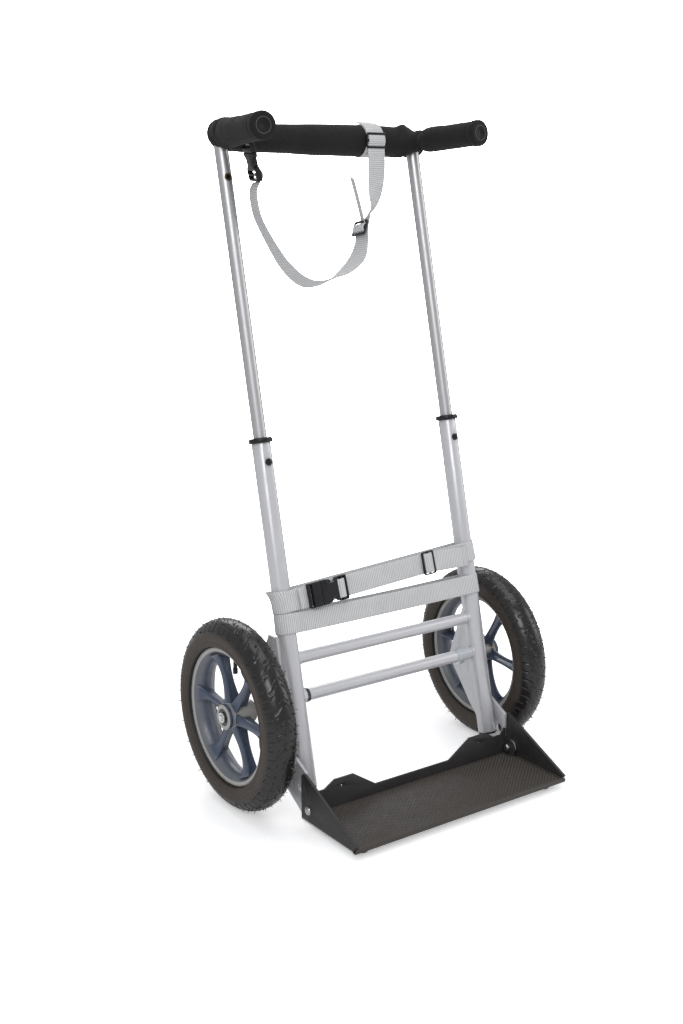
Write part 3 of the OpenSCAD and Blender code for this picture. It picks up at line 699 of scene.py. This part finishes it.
TREAD_PITCHES = 30
GROOVE_DEPTH = 0.0010
GROOVES = (  # from and to, each as part of a pitch and metres off the middle, then half width
    (0.10, 0.0050, 0.34, 0.0125, 0.0012), (0.34, 0.0125, 0.40, 0.0165, 0.0017),
    (0.56, 0.0135, 0.70, 0.0200, 0.0012), (0.22, 0.0235, 0.25, 0.0325, 0.0011),
    (0.72, 0.0225, 0.75, 0.0325, 0.0011), (0.80, 0.0035, 0.92, 0.0085, 0.0011),
)
SIDE_RIBS = (  # degrees from the crown, spread in degrees, height
    (113.0, 2.2, 0.0010), (105.5, 2.0, 0.0009), (99.0, 3.4, -0.0006), (78.0, 1.6, 0.0005),
)
WHISKER_ROWS = (  # radians from the crown, number round the tyre
    (-0.62, 60), (0.62, 60), (0.15, 44), (-0.2, 40), (-1.15, 30), (1.15, 30),
)
WHISKER_SEED = {"left": 7, "right": 11}
WORN_OFF = 0.28  # radians either side of the floor where no whiskers are left
SECTION_R = 0.028  # of the tyre's round section
SECTION_TURN = radians(121)  # from the crown to where the sidewall ends
BEAD_X, BEAD_R = 0.0165, 0.1121  # where the bead meets the rim's flange
AROUND, ACROSS = 1000, 112  # vertices of the tread's mesh


def groove_depth(x, y, pitch):
    """Depth from 0 to 1 of the tread at x round the tyre and y across it, in metres."""
    t = (x / pitch) % 1.0
    depth = np.zeros_like(x)
    for t0, y0, t1, y1, width in GROOVES:
        dx, dy = (t1 - t0) * pitch, y1 - y0
        best = np.full_like(x, 1.0)
        for shift in (-1, 0, 1):
            px, py = (t + shift - t0) * pitch, np.abs(y) - y0
            k = np.clip((px * dx + py * dy) / (dx * dx + dy * dy), 0, 1)
            best = np.minimum(best, np.hypot(px - k * dx, py - k * dy))
        k = np.clip(1.5 - best / width, 0, 1)
        depth = np.maximum(depth, k * k * (3 - 2 * k))
    return depth


def tyre(side):
    lo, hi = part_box(side + "_tyre")
    mid = (lo + hi) / 2
    outer_r, half_w = (hi.z - lo.z) / 2, (hi.x - lo.x) / 2
    ring_r = outer_r - SECTION_R
    round_axle = np.linspace(0, 2 * pi, AROUND, endpoint=False)
    u, a = np.meshgrid(round_axle, np.linspace(-SECTION_TURN, SECTION_TURN, ACROSS), indexing="ij")
    pitch = 2 * pi * outer_r / TREAD_PITCHES
    depth = GROOVE_DEPTH * groove_depth(-SIDES[side] * u * outer_r, a * SECTION_R, pitch)
    side_at = np.degrees(np.abs(a))
    ribs = sum(height * np.exp(-((side_at - at) / spread) ** 2) for at, spread, height in SIDE_RIBS)
    r = ring_r + (SECTION_R + ribs - depth) * np.cos(a)
    x = (half_w + ribs - depth) * np.sin(a)
    edge = np.ones((AROUND, 1))
    r = np.hstack([edge * BEAD_R, r, edge * BEAD_R])
    x = np.hstack([edge * -BEAD_X, x, edge * BEAD_X])
    u = round_axle[:, None]
    verts = np.stack([mid.x + x, mid.y + r * np.cos(u), mid.z + r * np.sin(u)], -1).reshape(-1, 3)
    faces = quads(AROUND, ACROSS + 2, rows_close=True, cols_close=False)
    obj = add_solid(side + "_tyre_tread", verts, faces, tyre_rubber(side + "_tyre_rubber", mid))
    finish_piece(obj, side + "_wheel", "tyre_rubber", side + "_tyre")
    whiskers(side, mid, half_w, ring_r)


def whiskers(side, mid, half_w, ring_r):
    """The moulding whiskers that a new tyre carries, but for where it stands on the floor."""
    bm = bmesh.new()
    rng = np.random.default_rng(WHISKER_SEED[side])
    for row, count in WHISKER_ROWS:
        for k in range(count):
            ang = 2 * pi * (k + 0.5 * rng.random()) / count
            if abs(atan2(cos(ang), -sin(ang))) < WORN_OFF:
                continue
            sec = row + 0.05 * (rng.random() - 0.5)
            radial = Vector((0, cos(ang), sin(ang)))
            out = X * sin(sec) + radial * cos(sec)
            root = mid + X * (half_w * sin(sec)) + radial * (ring_r + SECTION_R * cos(sec))
            length = 0.0030 + 0.0032 * rng.random()
            lean = Vector((rng.random() - 0.5, rng.random() - 0.5, rng.random() - 0.5)) * 0.9
            place = along_z(root + out * length * 0.42, out + lean)
            bmesh.ops.create_cone(bm, cap_ends=True, segments=6, radius1=0.00070, radius2=0.00034,
                                  depth=length, matrix=place)
    obj = from_bmesh(side + "_tyre_whiskers", bm)
    obj.data.materials.append(tube_black)
    finish_piece(obj, side + "_wheel", "tyre_rubber")


# ---- rims ----

SPOKES = 6
FIRST_SPOKE = {"left": radians(26), "right": radians(33)}  # from straight up


def rim(side):
    axle_at = axle_of(side)
    nylon = rim_nylon(side + "_rim_nylon", axle_at)
    out = X * SIDES[side]
    flange, half = 0.1115, 0.020
    seat, well = flange - 0.006, flange - 0.0125
    outside = [(half - 0.0006, flange), (half - 0.0030, flange), (half - 0.0036, flange - 0.0006),
               (half - 0.005, seat), (0.010, seat - 0.001), (0.006, well)]
    inside = [(0.006, well - 0.0035), (0.012, seat - 0.0054), (half - 0.0009, flange - 0.0066),
              (half, flange - 0.0052), (half, flange - 0.0006)]
    profile = outside + mirrored(outside) + mirrored(inside) + inside
    barrel = lathe("barrel", profile, axle_at, out, nylon, 192)
    hub_in, hub_out, hub_r, seal_r, bore_r = -0.028, 0.024, 0.021, 0.0142, 0.011
    hub = lathe("hub", [(hub_out, seal_r), (hub_out, hub_r - 0.0012), (hub_out - 0.0012, hub_r),
                        (hub_out - 0.006, hub_r), (hub_out - 0.0085, hub_r - 0.002), (0.0, hub_r - 0.0005),
                        (hub_in + 0.004, hub_r - 0.002), (hub_in, hub_r - 0.003), (hub_in, seal_r),
                        (hub_in + 0.008, seal_r), (hub_in + 0.0082, bore_r), (hub_out - 0.0082, bore_r),
                        (hub_out - 0.008, seal_r)], axle_at, out, nylon, 96)
    parts = [barrel, hub]
    for k in range(SPOKES):
        radial = Matrix.Rotation(FIRST_SPOKE[side] + k * 2 * pi / SPOKES, 3, out) @ Vector((0, 0, 1))
        parts.append(spoke(axle_at, out, radial, nylon))
    obj = joined(side + "_rim_spoked", parts)
    obj.data.set_sharp_from_angle(angle=radians(48))
    finish_piece(obj, side + "_wheel", "rim_nylon", side + "_rim")


def spoke(origin, out, radial, nylon):
    """Spoke with a flanged face that flares at the rim, and a deep rib behind it."""
    tangent = out.cross(radial)
    root_r, tip_r = 0.017, 0.0985
    rows = 23
    crown, thick = 0.0016, 0.0042
    verts = []
    for t in np.linspace(0, 1, rows):
        half_w = 0.0062 + 0.0035 * (1 - t) ** 3 + 0.0085 * max(0, (t - 0.62) / 0.38) ** 2.2
        face = 0.0125 - 0.006 * sin(pi * min(1, t * 0.9)) + 0.006 * max(0, (t - 0.8) / 0.2) ** 2
        rib = 0.0021 + 0.0006 * t
        depth = -0.014 + 0.004 * sin(pi * t)
        half = [(half_w * 0.45, face + crown * 0.75), (half_w - 0.0012, face), (half_w, face - 0.0012),
                (half_w - 0.0004, face - thick), (rib + 0.001, face - thick - 0.0012),
                (rib, face - thick - 0.003), (rib * 0.9, depth + 0.0008), (rib * 0.5, depth)]
        section = [(0, face + crown)] + half + mirrored(half)
        at = origin + radial * (root_r + (tip_r - root_r) * t)
        verts += [at + tangent * a + out * b for a, b in section]
    return add_solid("spoke", verts, quads(rows, len(section)) + end_faces(rows, len(section)), nylon)


for s in SIDES:
    tyre(s)
    rim(s)

# ---- handle padding ----


def grip_axis(side):
    splay, rise = radians(8), radians(4)
    sideways, forward = SIDES[side] * sin(splay), -cos(splay)
    return Vector((sideways * cos(rise), forward * cos(rise), sin(rise)))


def corner_at(side):
    return Vector((SIDES[side] * UPRIGHT_X, BAR.y, BAR.z))


def left_shift(t):
    """The left grip's foam sits a little inward and high on its tube, less so at its front."""
    return Vector((0.0058, 0, 0.0042 - 0.0034 * t))


def shaped_rod(origin, axis, stations):
    """Solid rod whose radius goes through (place along the axis, radius)."""
    closed = [(stations[0][0], 0.0002), *stations, (stations[-1][0], 0.0002)]
    return lathe("rod", closed, origin, axis, foam, 72)


def fused(name, objs, voxel=0.0015, rounds=10):
    """One soft skin over several overlapping solids, with the creases between them eased."""
    obj = joined(name + "_parts", objs)
    skin = obj.modifiers.new("skin", "REMESH")
    skin.mode = "VOXEL"
    skin.voxel_size = voxel
    ease = obj.modifiers.new("ease", "SMOOTH")
    ease.factor = 0.5
    ease.iterations = rounds
    bpy.context.view_layer.update()
    mesh = bpy.data.meshes.new_from_object(obj.evaluated_get(bpy.context.evaluated_depsgraph_get()))
    bpy.data.objects.remove(obj)
    one_smooth_material(mesh, foam)
    return linked(name, mesh)


def ease_in(value, start, end):
    t = min(1.0, max(0.0, (value - start) / (end - start)))
    return t * t * (3 - 2 * t)


def push_along_normals(obj, depth):
    """Moves each vertex along its normal by depth(point)."""
    mesh = obj.data
    moves = [v.normal * depth(v.co) for v in mesh.vertices]
    for v, move in zip(mesh.vertices, moves):
        v.co = v.co + move
    mesh.update()


BAR_DENTS = (  # place along the bar, degrees round it, depth
    (-0.105, 20, 0.0016), (-0.045, 60, 0.0010), (0.045, 10, 0.0010), (-0.135, 70, 0.0012),
)


def bar_padding():
    """The crossbar's foam with both corners: plump at the left, wrung and narrow at the right."""
    left_c, right_c = corner_at("left"), corner_at("right")
    axis_l = grip_axis("left")
    along_bar = [(-0.176, 0.0205), (-0.150, 0.0224), (-0.090, 0.0226), (-0.050, 0.0238), (0.000, 0.0250),
                 (0.070, 0.0256), (0.093, 0.0240), (0.116, 0.0256), (0.150, 0.0254), (0.170, 0.0246),
                 (0.184, 0.0222), (0.196, 0.0170), (0.202, 0.0090)]
    at_left = [(-0.0140, 0.0150), (-0.0115, 0.0205), (-0.0070, 0.0236), (0.004, 0.0244), (0.020, 0.0234),
               (0.0250, 0.0215)]
    at_right = [(-0.0200, 0.0120), (-0.0150, 0.0190), (-0.0050, 0.0232), (0.0060, 0.0230), (0.0160, 0.0200),
                (0.0235, 0.0172), (0.0290, 0.0156)]
    obj = fused("handle_padding", [shaped_rod(BAR, X, along_bar),
                                   shaped_rod(left_c + left_shift(0), axis_l, at_left),
                                   shaped_rod(right_c, grip_axis("right"), at_right)])

    def depth(p):
        d = p - BAR
        a = atan2(d.z, -d.y)
        out = 0.0006 * noise.noise(p * 30)  # unevenness
        for at, deg, size in BAR_DENTS:
            turn = (a - radians(deg) + pi) % (2 * pi) - pi
            out -= size * exp(-((d.x - at) / 0.016) ** 2 - (turn / 0.5) ** 2)
        wrung = ease_in(d.x, 0.140, 0.164)  # folds that wind round the right end
        fold = sin(3.0 * a - (d.x - 0.13) * 95 + 0.6) + 0.4 * sin(5.0 * a - (d.x - 0.13) * 150)
        out += wrung * 0.0034 * fold
        near = p - left_c
        s_at = near.dot(axis_l)
        if near.length < 0.034:  # the seam and the small folds of the left corner
            out -= 0.0016 * exp(-((s_at + 0.0030) / 0.0015) ** 2)
            out += 0.0007 * sin(s_at * 420 + 2 * a) * ease_in(-d.x, 0.150, 0.172)
        return out

    push_along_normals(obj, depth)
    finish_piece(obj, "handle", "grip_foam", "crossbar_foam", "left_corner_wrap", "right_corner_wrap")


GRIP_END, CAP_AT = 0.1437, 0.144  # from the corner to where the foam ends and where its cap begins


def grip(side):
    """One forward grip's foam; returns its end cap."""
    axis, c = grip_axis(side), corner_at(side)
    if side == "left":
        c = c + left_shift(0)
        axis = (axis * GRIP_END + left_shift(1) - left_shift(0)).normalized()
        stations = [(0.0200, 0.0205), (0.0230, 0.0231), (0.050, 0.0220), (0.090, 0.0208),
                    (GRIP_END - 0.002, 0.0206), (GRIP_END, 0.0196)]
    else:
        stations = [(0.0270, 0.0148), (0.0310, 0.0158), (0.0360, 0.0186), (0.044, 0.0206), (0.056, 0.0209),
                    (0.085, 0.0199), (GRIP_END - 0.002, 0.0200), (GRIP_END, 0.0190)]
    obj = fused(side + "_grip_padding", [shaped_rod(c, axis, stations)], 0.0014, 6)

    def depth(p):
        s_at = (p - c).dot(axis)
        a = atan2(p.z - c.z, (p - c).dot(X))
        out = 0.0006 * noise.noise(p * 34)
        out += 0.0009 * sin(3 * a + s_at * 160 * SIDES[side]) * (1 - ease_in(s_at, 0.02, 0.05))
        return out

    push_along_normals(obj, depth)
    finish_piece(obj, "handle", "grip_foam", side + "_grip_foam")
    # flat end cap: a soft flange, and the thin ring that the tube's end presses into it, lighter grey partly
    # from wear and partly as a painted highlight
    profile = [(0.0001, 0.0004), (0.0001, 0.0200), (0.0014, 0.0209), (0.0030, 0.0211), (0.0100, 0.0211),
               (0.0122, 0.0205), (0.0134, 0.0191), (0.0137, 0.0176), (0.0137, 0.0004)]
    cap_at = c + axis * CAP_AT
    cap = lathe(side + "_grip_cap_end", profile, cap_at, axis, foam, 96)
    ring = [(0.0130 + 0.0012 * sin(t), 0.0118 + 0.0007 * cos(t))
            for t in np.linspace(0, 2 * pi, 8, endpoint=False)]
    worn_and_highlit_ring = lathe(side + "_grip_cap_ring", ring, cap_at, axis, cap_ring_wear_and_highlight, 72)
    return joined(side + "_grip_cap", [cap, worn_and_highlit_ring])


bar_padding()
caps = joined("grip_cap_ends", [grip(s) for s in SIDES])
finish_piece(caps, "handle", "grip_foam", "grip_caps")

# ---- toe plate mat ----


def toe_mat():
    """The mat, and the rows of small flat-topped studs moulded on it."""
    bevelled_copy("toe_mat", mat_black, "toe_plate", "mat_rubber", 0.0006)
    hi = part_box("toe_mat")[1]
    front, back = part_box("toe_base_plate")[0].y - 0.0032, hi.y - 0.003
    half, narrow = min(hi.x, 0.2035), 0.1985  # half width, and that between the tray's cheeks
    narrow_from = JOINTS["toe_plate_fold"]["pos_m"][1] - 0.016
    pitch_x, pitch_y = 0.0076, 0.0066  # every other row is half a pitch over
    stud = ((-0.0030, 0), (0, -0.0028), (0.0030, 0), (0, 0.0028))
    verts = []
    row, y = 0, front
    while y < back:
        x = -half + 0.004 + (pitch_x / 2 if row % 2 else 0)
        limit = narrow if y > narrow_from else half
        while x < half - 0.003:
            if abs(x) < limit - 0.0035:
                for size, rise in ((1, -0.0002), (0.45, 0.0010)):
                    verts += [(x + dx * size, y + dy * size, hi.z + rise) for dx, dy in stud]
            x += pitch_x
        y += pitch_y / 2
        row += 1
    faces = []
    for b in range(0, len(verts), 8):
        faces += [(b + k, b + (k + 1) % 4, b + 4 + (k + 1) % 4, b + 4 + k) for k in range(4)]
        faces.append((b + 4, b + 5, b + 6, b + 7))
    studs = add_mesh("toe_mat_studs", verts, faces, mat_black, smooth=False)
    finish_piece(studs, "toe_plate", "mat_rubber")


toe_mat()

# ---- sliders and buckles ----


def slider_loops():
    """Outline of a slider, and its two slots with the bar between them."""
    width, height, half_bar = 0.040, 0.026, 0.002
    slot_w = width - 2 * 0.0023
    slot_h = height / 2 - 0.0042 - half_bar
    slots = [rounded(rect(slot_w, slot_h, s * (slot_h / 2 + half_bar)), 0.0016) for s in (-1, 1)]
    return [rounded(rect(width, height), 0.0045), *slots]


def face_place(origin, normal, upward):
    """Matrix whose Z is normal and whose Y is upward."""
    z = Vector(normal).normalized()
    x = Vector(upward).cross(z).normalized()
    y = z.cross(x)
    m = Matrix((x, y, z)).transposed().to_4x4()
    m.translation = origin
    return m


BUCKLE_W, BUCKLE_T = 0.040, 0.009


def strap_slot(y):
    return rounded(rect(0.0352, 0.0048, y), 0.0012)


def buckle_socket(name, place, length):
    """Socket lying in the XY plane of place: its bar at Y = 0, its mouth towards +Y."""
    w = BUCKLE_W / 2
    edge = [(w, 0), (w, 0.0165), (w - 0.0012, 0.0185), (w - 0.0012, 0.0205), (w - 0.0055, 0.0225),
            (w - 0.0072, 0.0270), (w - 0.0072, 0.0310), (w - 0.005, 0.0350), (w - 0.0008, 0.0372),
            (w, 0.0385), (w, length)]
    loops = [rounded(edge + mirrored(edge), 0.0014), strap_slot(0.0061), strap_slot(0.0139)]
    body = plate(name + "_body", loops, BUCKLE_T, 0.0018, place, black)
    outline = [(-0.0105, 0.021), (0.0105, 0.021), (0.0125, length - 0.004), (-0.0125, length - 0.004)]
    panel = plate(name + "_panel", [rounded(outline, 0.002)], BUCKLE_T + 0.0008, 0.0005, place, black)
    return joined(name + "_socket", [body, panel])


def buckle_plug(name, place, socket, length):
    """Plug in such a socket: its base with the strap's slot, and the two sprung arms."""
    at = socket + 0.0003
    loops = [rounded(rect(BUCKLE_W, length, at + length / 2), 0.003), strap_slot(at + length - 0.0055)]
    base = plate(name + "_base", loops, BUCKLE_T, 0.0016, place, black)
    arm = [(0.0100, at + 0.001), (0.0155, at + 0.001), (0.0146, at - 0.006), (0.0176, at - 0.0105),
           (0.0192, at - 0.0165), (0.0160, at - 0.0215), (0.0120, at - 0.0190), (0.0112, at - 0.008)]
    arms = [plate(name + "_arm", [rounded(side, 0.0015)], BUCKLE_T - 0.0036, 0.0012, place, black)
            for side in (mirrored(arm), arm)]
    return joined(name + "_plug", [base, *arms])


def buckle(name, place, body, socket, plug):
    finish_piece(buckle_socket(name, place, socket), body, "black_plastic", name + "_socket")
    finish_piece(buckle_plug(name, place, socket, plug), body, "black_plastic", name + "_plug")


def over_bar(name, place, body, span=0.0095, lift=0.0016, width=WEB_W - 0.0012, at=(0, 0, 0)):
    """Bit of strap that comes out of one slot, passes over a bar at a point and goes in again."""
    place = place @ Matrix.Translation(at)
    rise = [(-span, -0.0022), (-span * 0.86, -0.0004), (-span * 0.62, 0.0010), (-span * 0.3, 0.0020)]
    pts = [*rise, (0, 0.0023), *mirrored(rise)]
    line = [place @ Vector((0, y, lift - 0.0005 + z)) for y, z in pts]
    strap = ribbon(name, line, place.to_3x3() @ X, width=width)
    finish_piece(strap, body, "webbing")


def slider(name, strap_name, place, body, node, span=0.0095):
    """Slider that stands for a CAD node, with the strap over its bar."""
    obj = plate(name, slider_loops(), 0.003, 0.0009, place, black)
    finish_piece(obj, body, "black_plastic", node)
    over_bar(strap_name, place, body, span)


# ---- webbing bands ----

BAND_R = 0.0154 + 0.0003 + 0.0009  # the upright, a little air and half the strap
BAND_DIR = Vector(JOINTS["band_slider_slide"]["axis"]).normalized()
BAND_SLOPE = atan2(BAND_DIR.z / UP.z, BAND_DIR.x)
LOWER_BAND_AT = along(centre("lower_band"))
UPPER_BAND_AT = along(centre("upper_band"))
STITCH_R = 0.00038


def stadium(reach, r, run_step=0.004, turn_step=0.0016):
    """Loop round both uprights as (across, ahead), starting at the back of the right one."""
    pts = []
    run = int(2 * reach / run_step)
    turn = int(pi * r / turn_step)
    for end in (1, -1):
        for i in range(run):
            pts.append((end * (reach - 2 * reach * i / run), -end * r))
        for i in range(turn):
            a = -end * pi / 2 - pi * i / turn
            pts.append((-end * reach + r * cos(a), r * sin(a)))
    return pts


def lower_band():
    pts = stadium(UPRIGHT_X, BAND_R)
    line = [leaning(x, LOWER_BAND_AT - 0.0012 * cos(x * 8), d + 0.0006 * sin(x * 31)) for x, d in pts]
    across = [UP + X * 0.02 * sin(x * 20) for x, d in pts]

    def shape(i, x):
        px, d = pts[i]
        sag = 0.0010 * sin(px * 24 + 1) * (1 if d > 0 else 0.3)
        return AHEAD * (sag * x)

    obj = ribbon("lower_band_webbing", line, across, WEB_W - 0.002, closed=True, shape=shape)
    finish_piece(obj, "frame", "webbing", "lower_band")


lower_band()


def stitches(name, runs, body):
    bm = bmesh.new()
    for a, b in runs:
        place = along_z((a + b) / 2, b - a)
        stretch = Matrix.Diagonal((1, 1, (b - a).length / (2 * STITCH_R), 1))
        bmesh.ops.create_uvsphere(bm, u_segments=8, v_segments=6, radius=STITCH_R, matrix=place @ stretch)
    obj = from_bmesh(name, bm)
    one_smooth_material(obj.data, stitch)
    finish_piece(obj, body, "webbing")


def upper_line(x):
    return UPPER_BAND_AT + x * tan(BAND_SLOPE)


def upper_band():
    pts = stadium(UPRIGHT_X + 0.001, BAND_R)
    line = [leaning(x, upper_line(x), d) for x, d in pts]
    tilt = UP * cos(BAND_SLOPE) - X * sin(BAND_SLOPE)

    def shape(i, x):
        px, d = pts[i]
        off = AHEAD * (0.0008 * sin(px * 19) * x * (1 if d > 0 else 0.4))
        if px < -UPRIGHT_X:  # the folded edge stands off the outside of the left upright
            flare = 0.0075 * max(0, x) ** 2 * min(1, (-UPRIGHT_X - px) / 0.012)
            off += -X * flare + UP * flare * 0.25
        return off

    def layer(name, x0, x1, ahead, lift, stand, drop=0.0):
        """Second layer of strap in front of the band, whose end drops and stands off it."""
        n = max(6, int(abs(x1 - x0) / 0.004))
        run = []
        for t in np.linspace(0, 1, n):
            x = x0 + (x1 - x0) * t
            out = BAND_R + ahead + lift * sin(pi * t) + stand * t ** 3
            run.append(leaning(x, upper_line(x) - drop * t, out))
        return ribbon(name, run, tilt)

    loop = ribbon("upper_band_webbing", line, tilt, closed=True, shape=shape)
    inner = layer("band_inner_tail", -0.150, -0.168, 0.0022, 0.001, 0.0024)
    doubled = layer("band_doubled_end", 0.100, 0.176, 0.0020, 0.0006, 0.0022, drop=0.0060)
    band = joined("upper_band_doubled", [loop, inner, doubled])
    finish_piece(band, "frame", "webbing", "upper_band")

    seam = []  # two rows of stitches across the doubled end
    for x in (0.168, 0.1705):
        for z in np.linspace(-0.0165, 0.0165, 11):
            p = leaning(x, upper_line(x) + z - 0.0055, BAND_R + 0.0038 + WEB_T / 2 + 0.0002)
            seam.append((p - tilt * 0.0011, p + tilt * 0.0011))
    stitches("band_seam", seam, "frame")


upper_band()
slider("band_triglide", "band_over_slider", face_place(centre("band_slider"), AHEAD, -BAND_DIR),
       "slider", "band_slider")

lo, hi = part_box("band_buckle_socket")
socket_at = centre("band_buckle_socket")
bar_end = Vector((hi.x, socket_at.y, socket_at.z)) + (BAND_DIR - X * BAND_DIR.x) * ((hi.x - lo.x) / 2)
place = face_place(bar_end, AHEAD, -BAND_DIR)
over_bar("strap_over_band_bar", place, "frame", 0.0064, 0.0012, 0.030, at=(0, 0.0120, 0.0045))
buckle("band_buckle", place, "frame", 0.050, 0.024)

# ---- sling ----

MM = 0.001
SLING_ROUTE = [  # across, ahead of the crossbar, below it, in mm; turn and lift of its width, degrees
    (93, 27.6, 2, 0, 0), (93, 29, 14, 0, 0), (93, 30, 45, 0, 0), (91, 30, 75, 8, 0), (85, 31, 102, 32, 0),
    (73, 32, 122, 64, -2), (61, 34, 143, 88, -3), (57, 37, 165, 94, 0), (46, 40, 190, 105, 4),
    (18, 42, 212, 96, -1), (-12, 43, 224, 93, -20), (-45, 43, 229, 95, -22), (-71, 43, 220, 93, -18),
    (-94, 43, 201, 92, -10), (-110, 43, 182, 89, -4), (-132, 44, 150, 84, 0), (-151, 47, 118, 80, 0),
    (-159, 50, 84, 79, 0), (-153, 50, 68, 78, 0),
]


def sling_at(p):
    return BAR + Vector((p[0], -p[1], -p[2])) * MM


def turned(*turns):
    """Rotation by (degrees, axis), the last first."""
    total = Matrix.Identity(3)
    for degrees, axis in turns:
        total = total @ Matrix.Rotation(radians(degrees), 3, axis)
    return total


def standing_place(origin, turn=Matrix.Identity(3)):
    """Place of a fitting that faces forward with its Y up, after a turn."""
    return face_place(origin, turn @ Vector((0, -1, 0)), turn @ Vector((0, 0, 1)))


def round_bar(r, a):
    """Point of the sling's loop round the padded crossbar, by its angle from the front."""
    return BAR + Vector((SLING_ROUTE[0][0] * MM, -r * cos(a), r * sin(a)))


def sling():
    rows = smooth_line([(*sling_at(p), radians(p[3]), radians(p[4])) for p in SLING_ROUTE])
    line = [Vector(r[:3]) for r in rows]
    across = [Vector((cos(turn) * cos(lift), sin(turn) * cos(lift), sin(lift))) for *_, turn, lift in rows]
    strap = ribbon("sling_run", line, across)
    r = 0.025 + 0.0012
    ring = [round_bar(r, 2 * pi * k / 96) for k in range(96)]
    loop = ribbon("sling_loop", ring, X, closed=True)
    outer = []
    for k in range(40):  # second turn, ending in a sewn edge that stands up on top
        rise = 0.004 * max(0, (k - 33) / 6) ** 2
        outer.append(round_bar(r + 0.0018 + rise, radians(-22 + 128 * k / 39)))
    second = ribbon("sling_doubled", outer, X)
    # free tail that leaves the slider and stands behind the strap
    tail_pts = [sling_at((67 - 23 * t - 3 * t * t, 30 + 2 * t, 138 - 78 * t)) for t in np.linspace(0, 1, 30)]
    tail = ribbon("sling_tail", tail_pts, Vector((0.45, 0.9, 0)))
    obj = joined("sling_webbing", [strap, loop, second, tail])
    finish_piece(obj, "handle", "webbing", "sling_strap")


sling()
slider("sling_lock_plate", "strap_over_lock", standing_place(centre("sling_tension_lock")),
       "handle", "sling_tension_lock")
turn = turned((-93, "Z"), (-9, "Y"), (-20, "X"))
slider("sling_slider_plate", "strap_over_slider", standing_place(centre("sling_slider"), turn),
       "handle", "sling_slider", 0.0074)

turn = turned((-14, "Y"), (78, "Z"))
origin = sling_at(SLING_ROUTE[-1]) + turn @ Vector((0, 0, 0.0015))
place = standing_place(origin, turn)
over_bar("strap_over_buckle_bar", place, "handle", 0.0085, 0.0012, 0.032, at=(0, 0.0095, 0.0045))
buckle("sling_buckle", place, "handle", 0.044, 0.016)

tab_base = origin + turn @ Vector((0, 0, 0.0545))
tab_line = [tab_base + turn @ Vector((0, -0.001 - 0.0015 * sin(pi * t), 0.0145 * t))
            for t in np.linspace(0, 1, 12)]
tab = ribbon("sling_tab_webbing", tab_line, turn @ X, width=0.028)
finish_piece(tab, "handle", "webbing", "sling_tab")

# ---- brown ring in the stow hole of the left handle tube ----

stow = leaning(-UPRIGHT_X, 1.011, 0.0108)
ring_profile = [(0.0, 0.0044), (0.0009, 0.0048), (0.0011, 0.0056), (0.0006, 0.0064), (0.0, 0.0067),
                (-0.002, 0.0060), (-0.002, 0.0044)]
brown = moulded_plastic("grommet", (0.10, 0.065, 0.035))
finish_piece(lathe("stow_hole_ring", ring_profile, stow, AHEAD, brown, 40), "handle", "black_plastic")

# ---- floor and light ----

FLOOR = 80  # metres each way
floor = add_mesh("floor", [(x, y, 0) for x, y in rect(FLOOR, FLOOR)], [(0, 1, 2, 3)], floor_white())


def area_light(name, at, size, power, colour=(1, 1, 1)):
    """Light of this size and power that faces the trolley's middle."""
    data = bpy.data.lights.new(name, "AREA")
    data.shape = "RECTANGLE"
    data.size, data.size_y = size
    data.energy = power
    data.color = colour
    obj = linked(name, data)
    obj.location = at
    obj.rotation_mode = "QUATERNION"
    obj.rotation_quaternion = (Vector((0, 0, 0.5)) - Vector(at)).to_track_quat("-Z", "Y")


area_light("key", (-2.2, -2.2, 2.6), (1.6, 1.6), 46)
area_light("fill", (2.6, -1.4, 1.6), (1.4, 2.0), 20, (1.0, 0.98, 0.95))
area_light("back", (1.2, 2.6, 2.2), (2.0, 1.4), 26)
area_light("top", (0, 0, 3.4), (2.4, 2.4), 30)

world = bpy.data.worlds.new("studio")
scene.world = world
world.use_nodes = True
tree = world.node_tree
background = tree.nodes["Background"]
background.inputs["Color"].default_value = (0.95, 0.97, 1.0, 1)
background.inputs["Strength"].default_value = 0.55
backdrop = tree.nodes.new("ShaderNodeBackground")
backdrop.inputs["Strength"].default_value = GLARE
path = tree.nodes.new("ShaderNodeLightPath")
chosen = tree.nodes.new("ShaderNodeMixShader")
for k, output in enumerate((path.outputs["Is Camera Ray"], background.outputs[0], backdrop.outputs[0])):
    tree.links.new(output, chosen.inputs[k])
tree.links.new(chosen.outputs[0], tree.nodes["World Output"].inputs[0])
scene.view_settings.view_transform = "Standard"
scene.view_settings.look = "None"
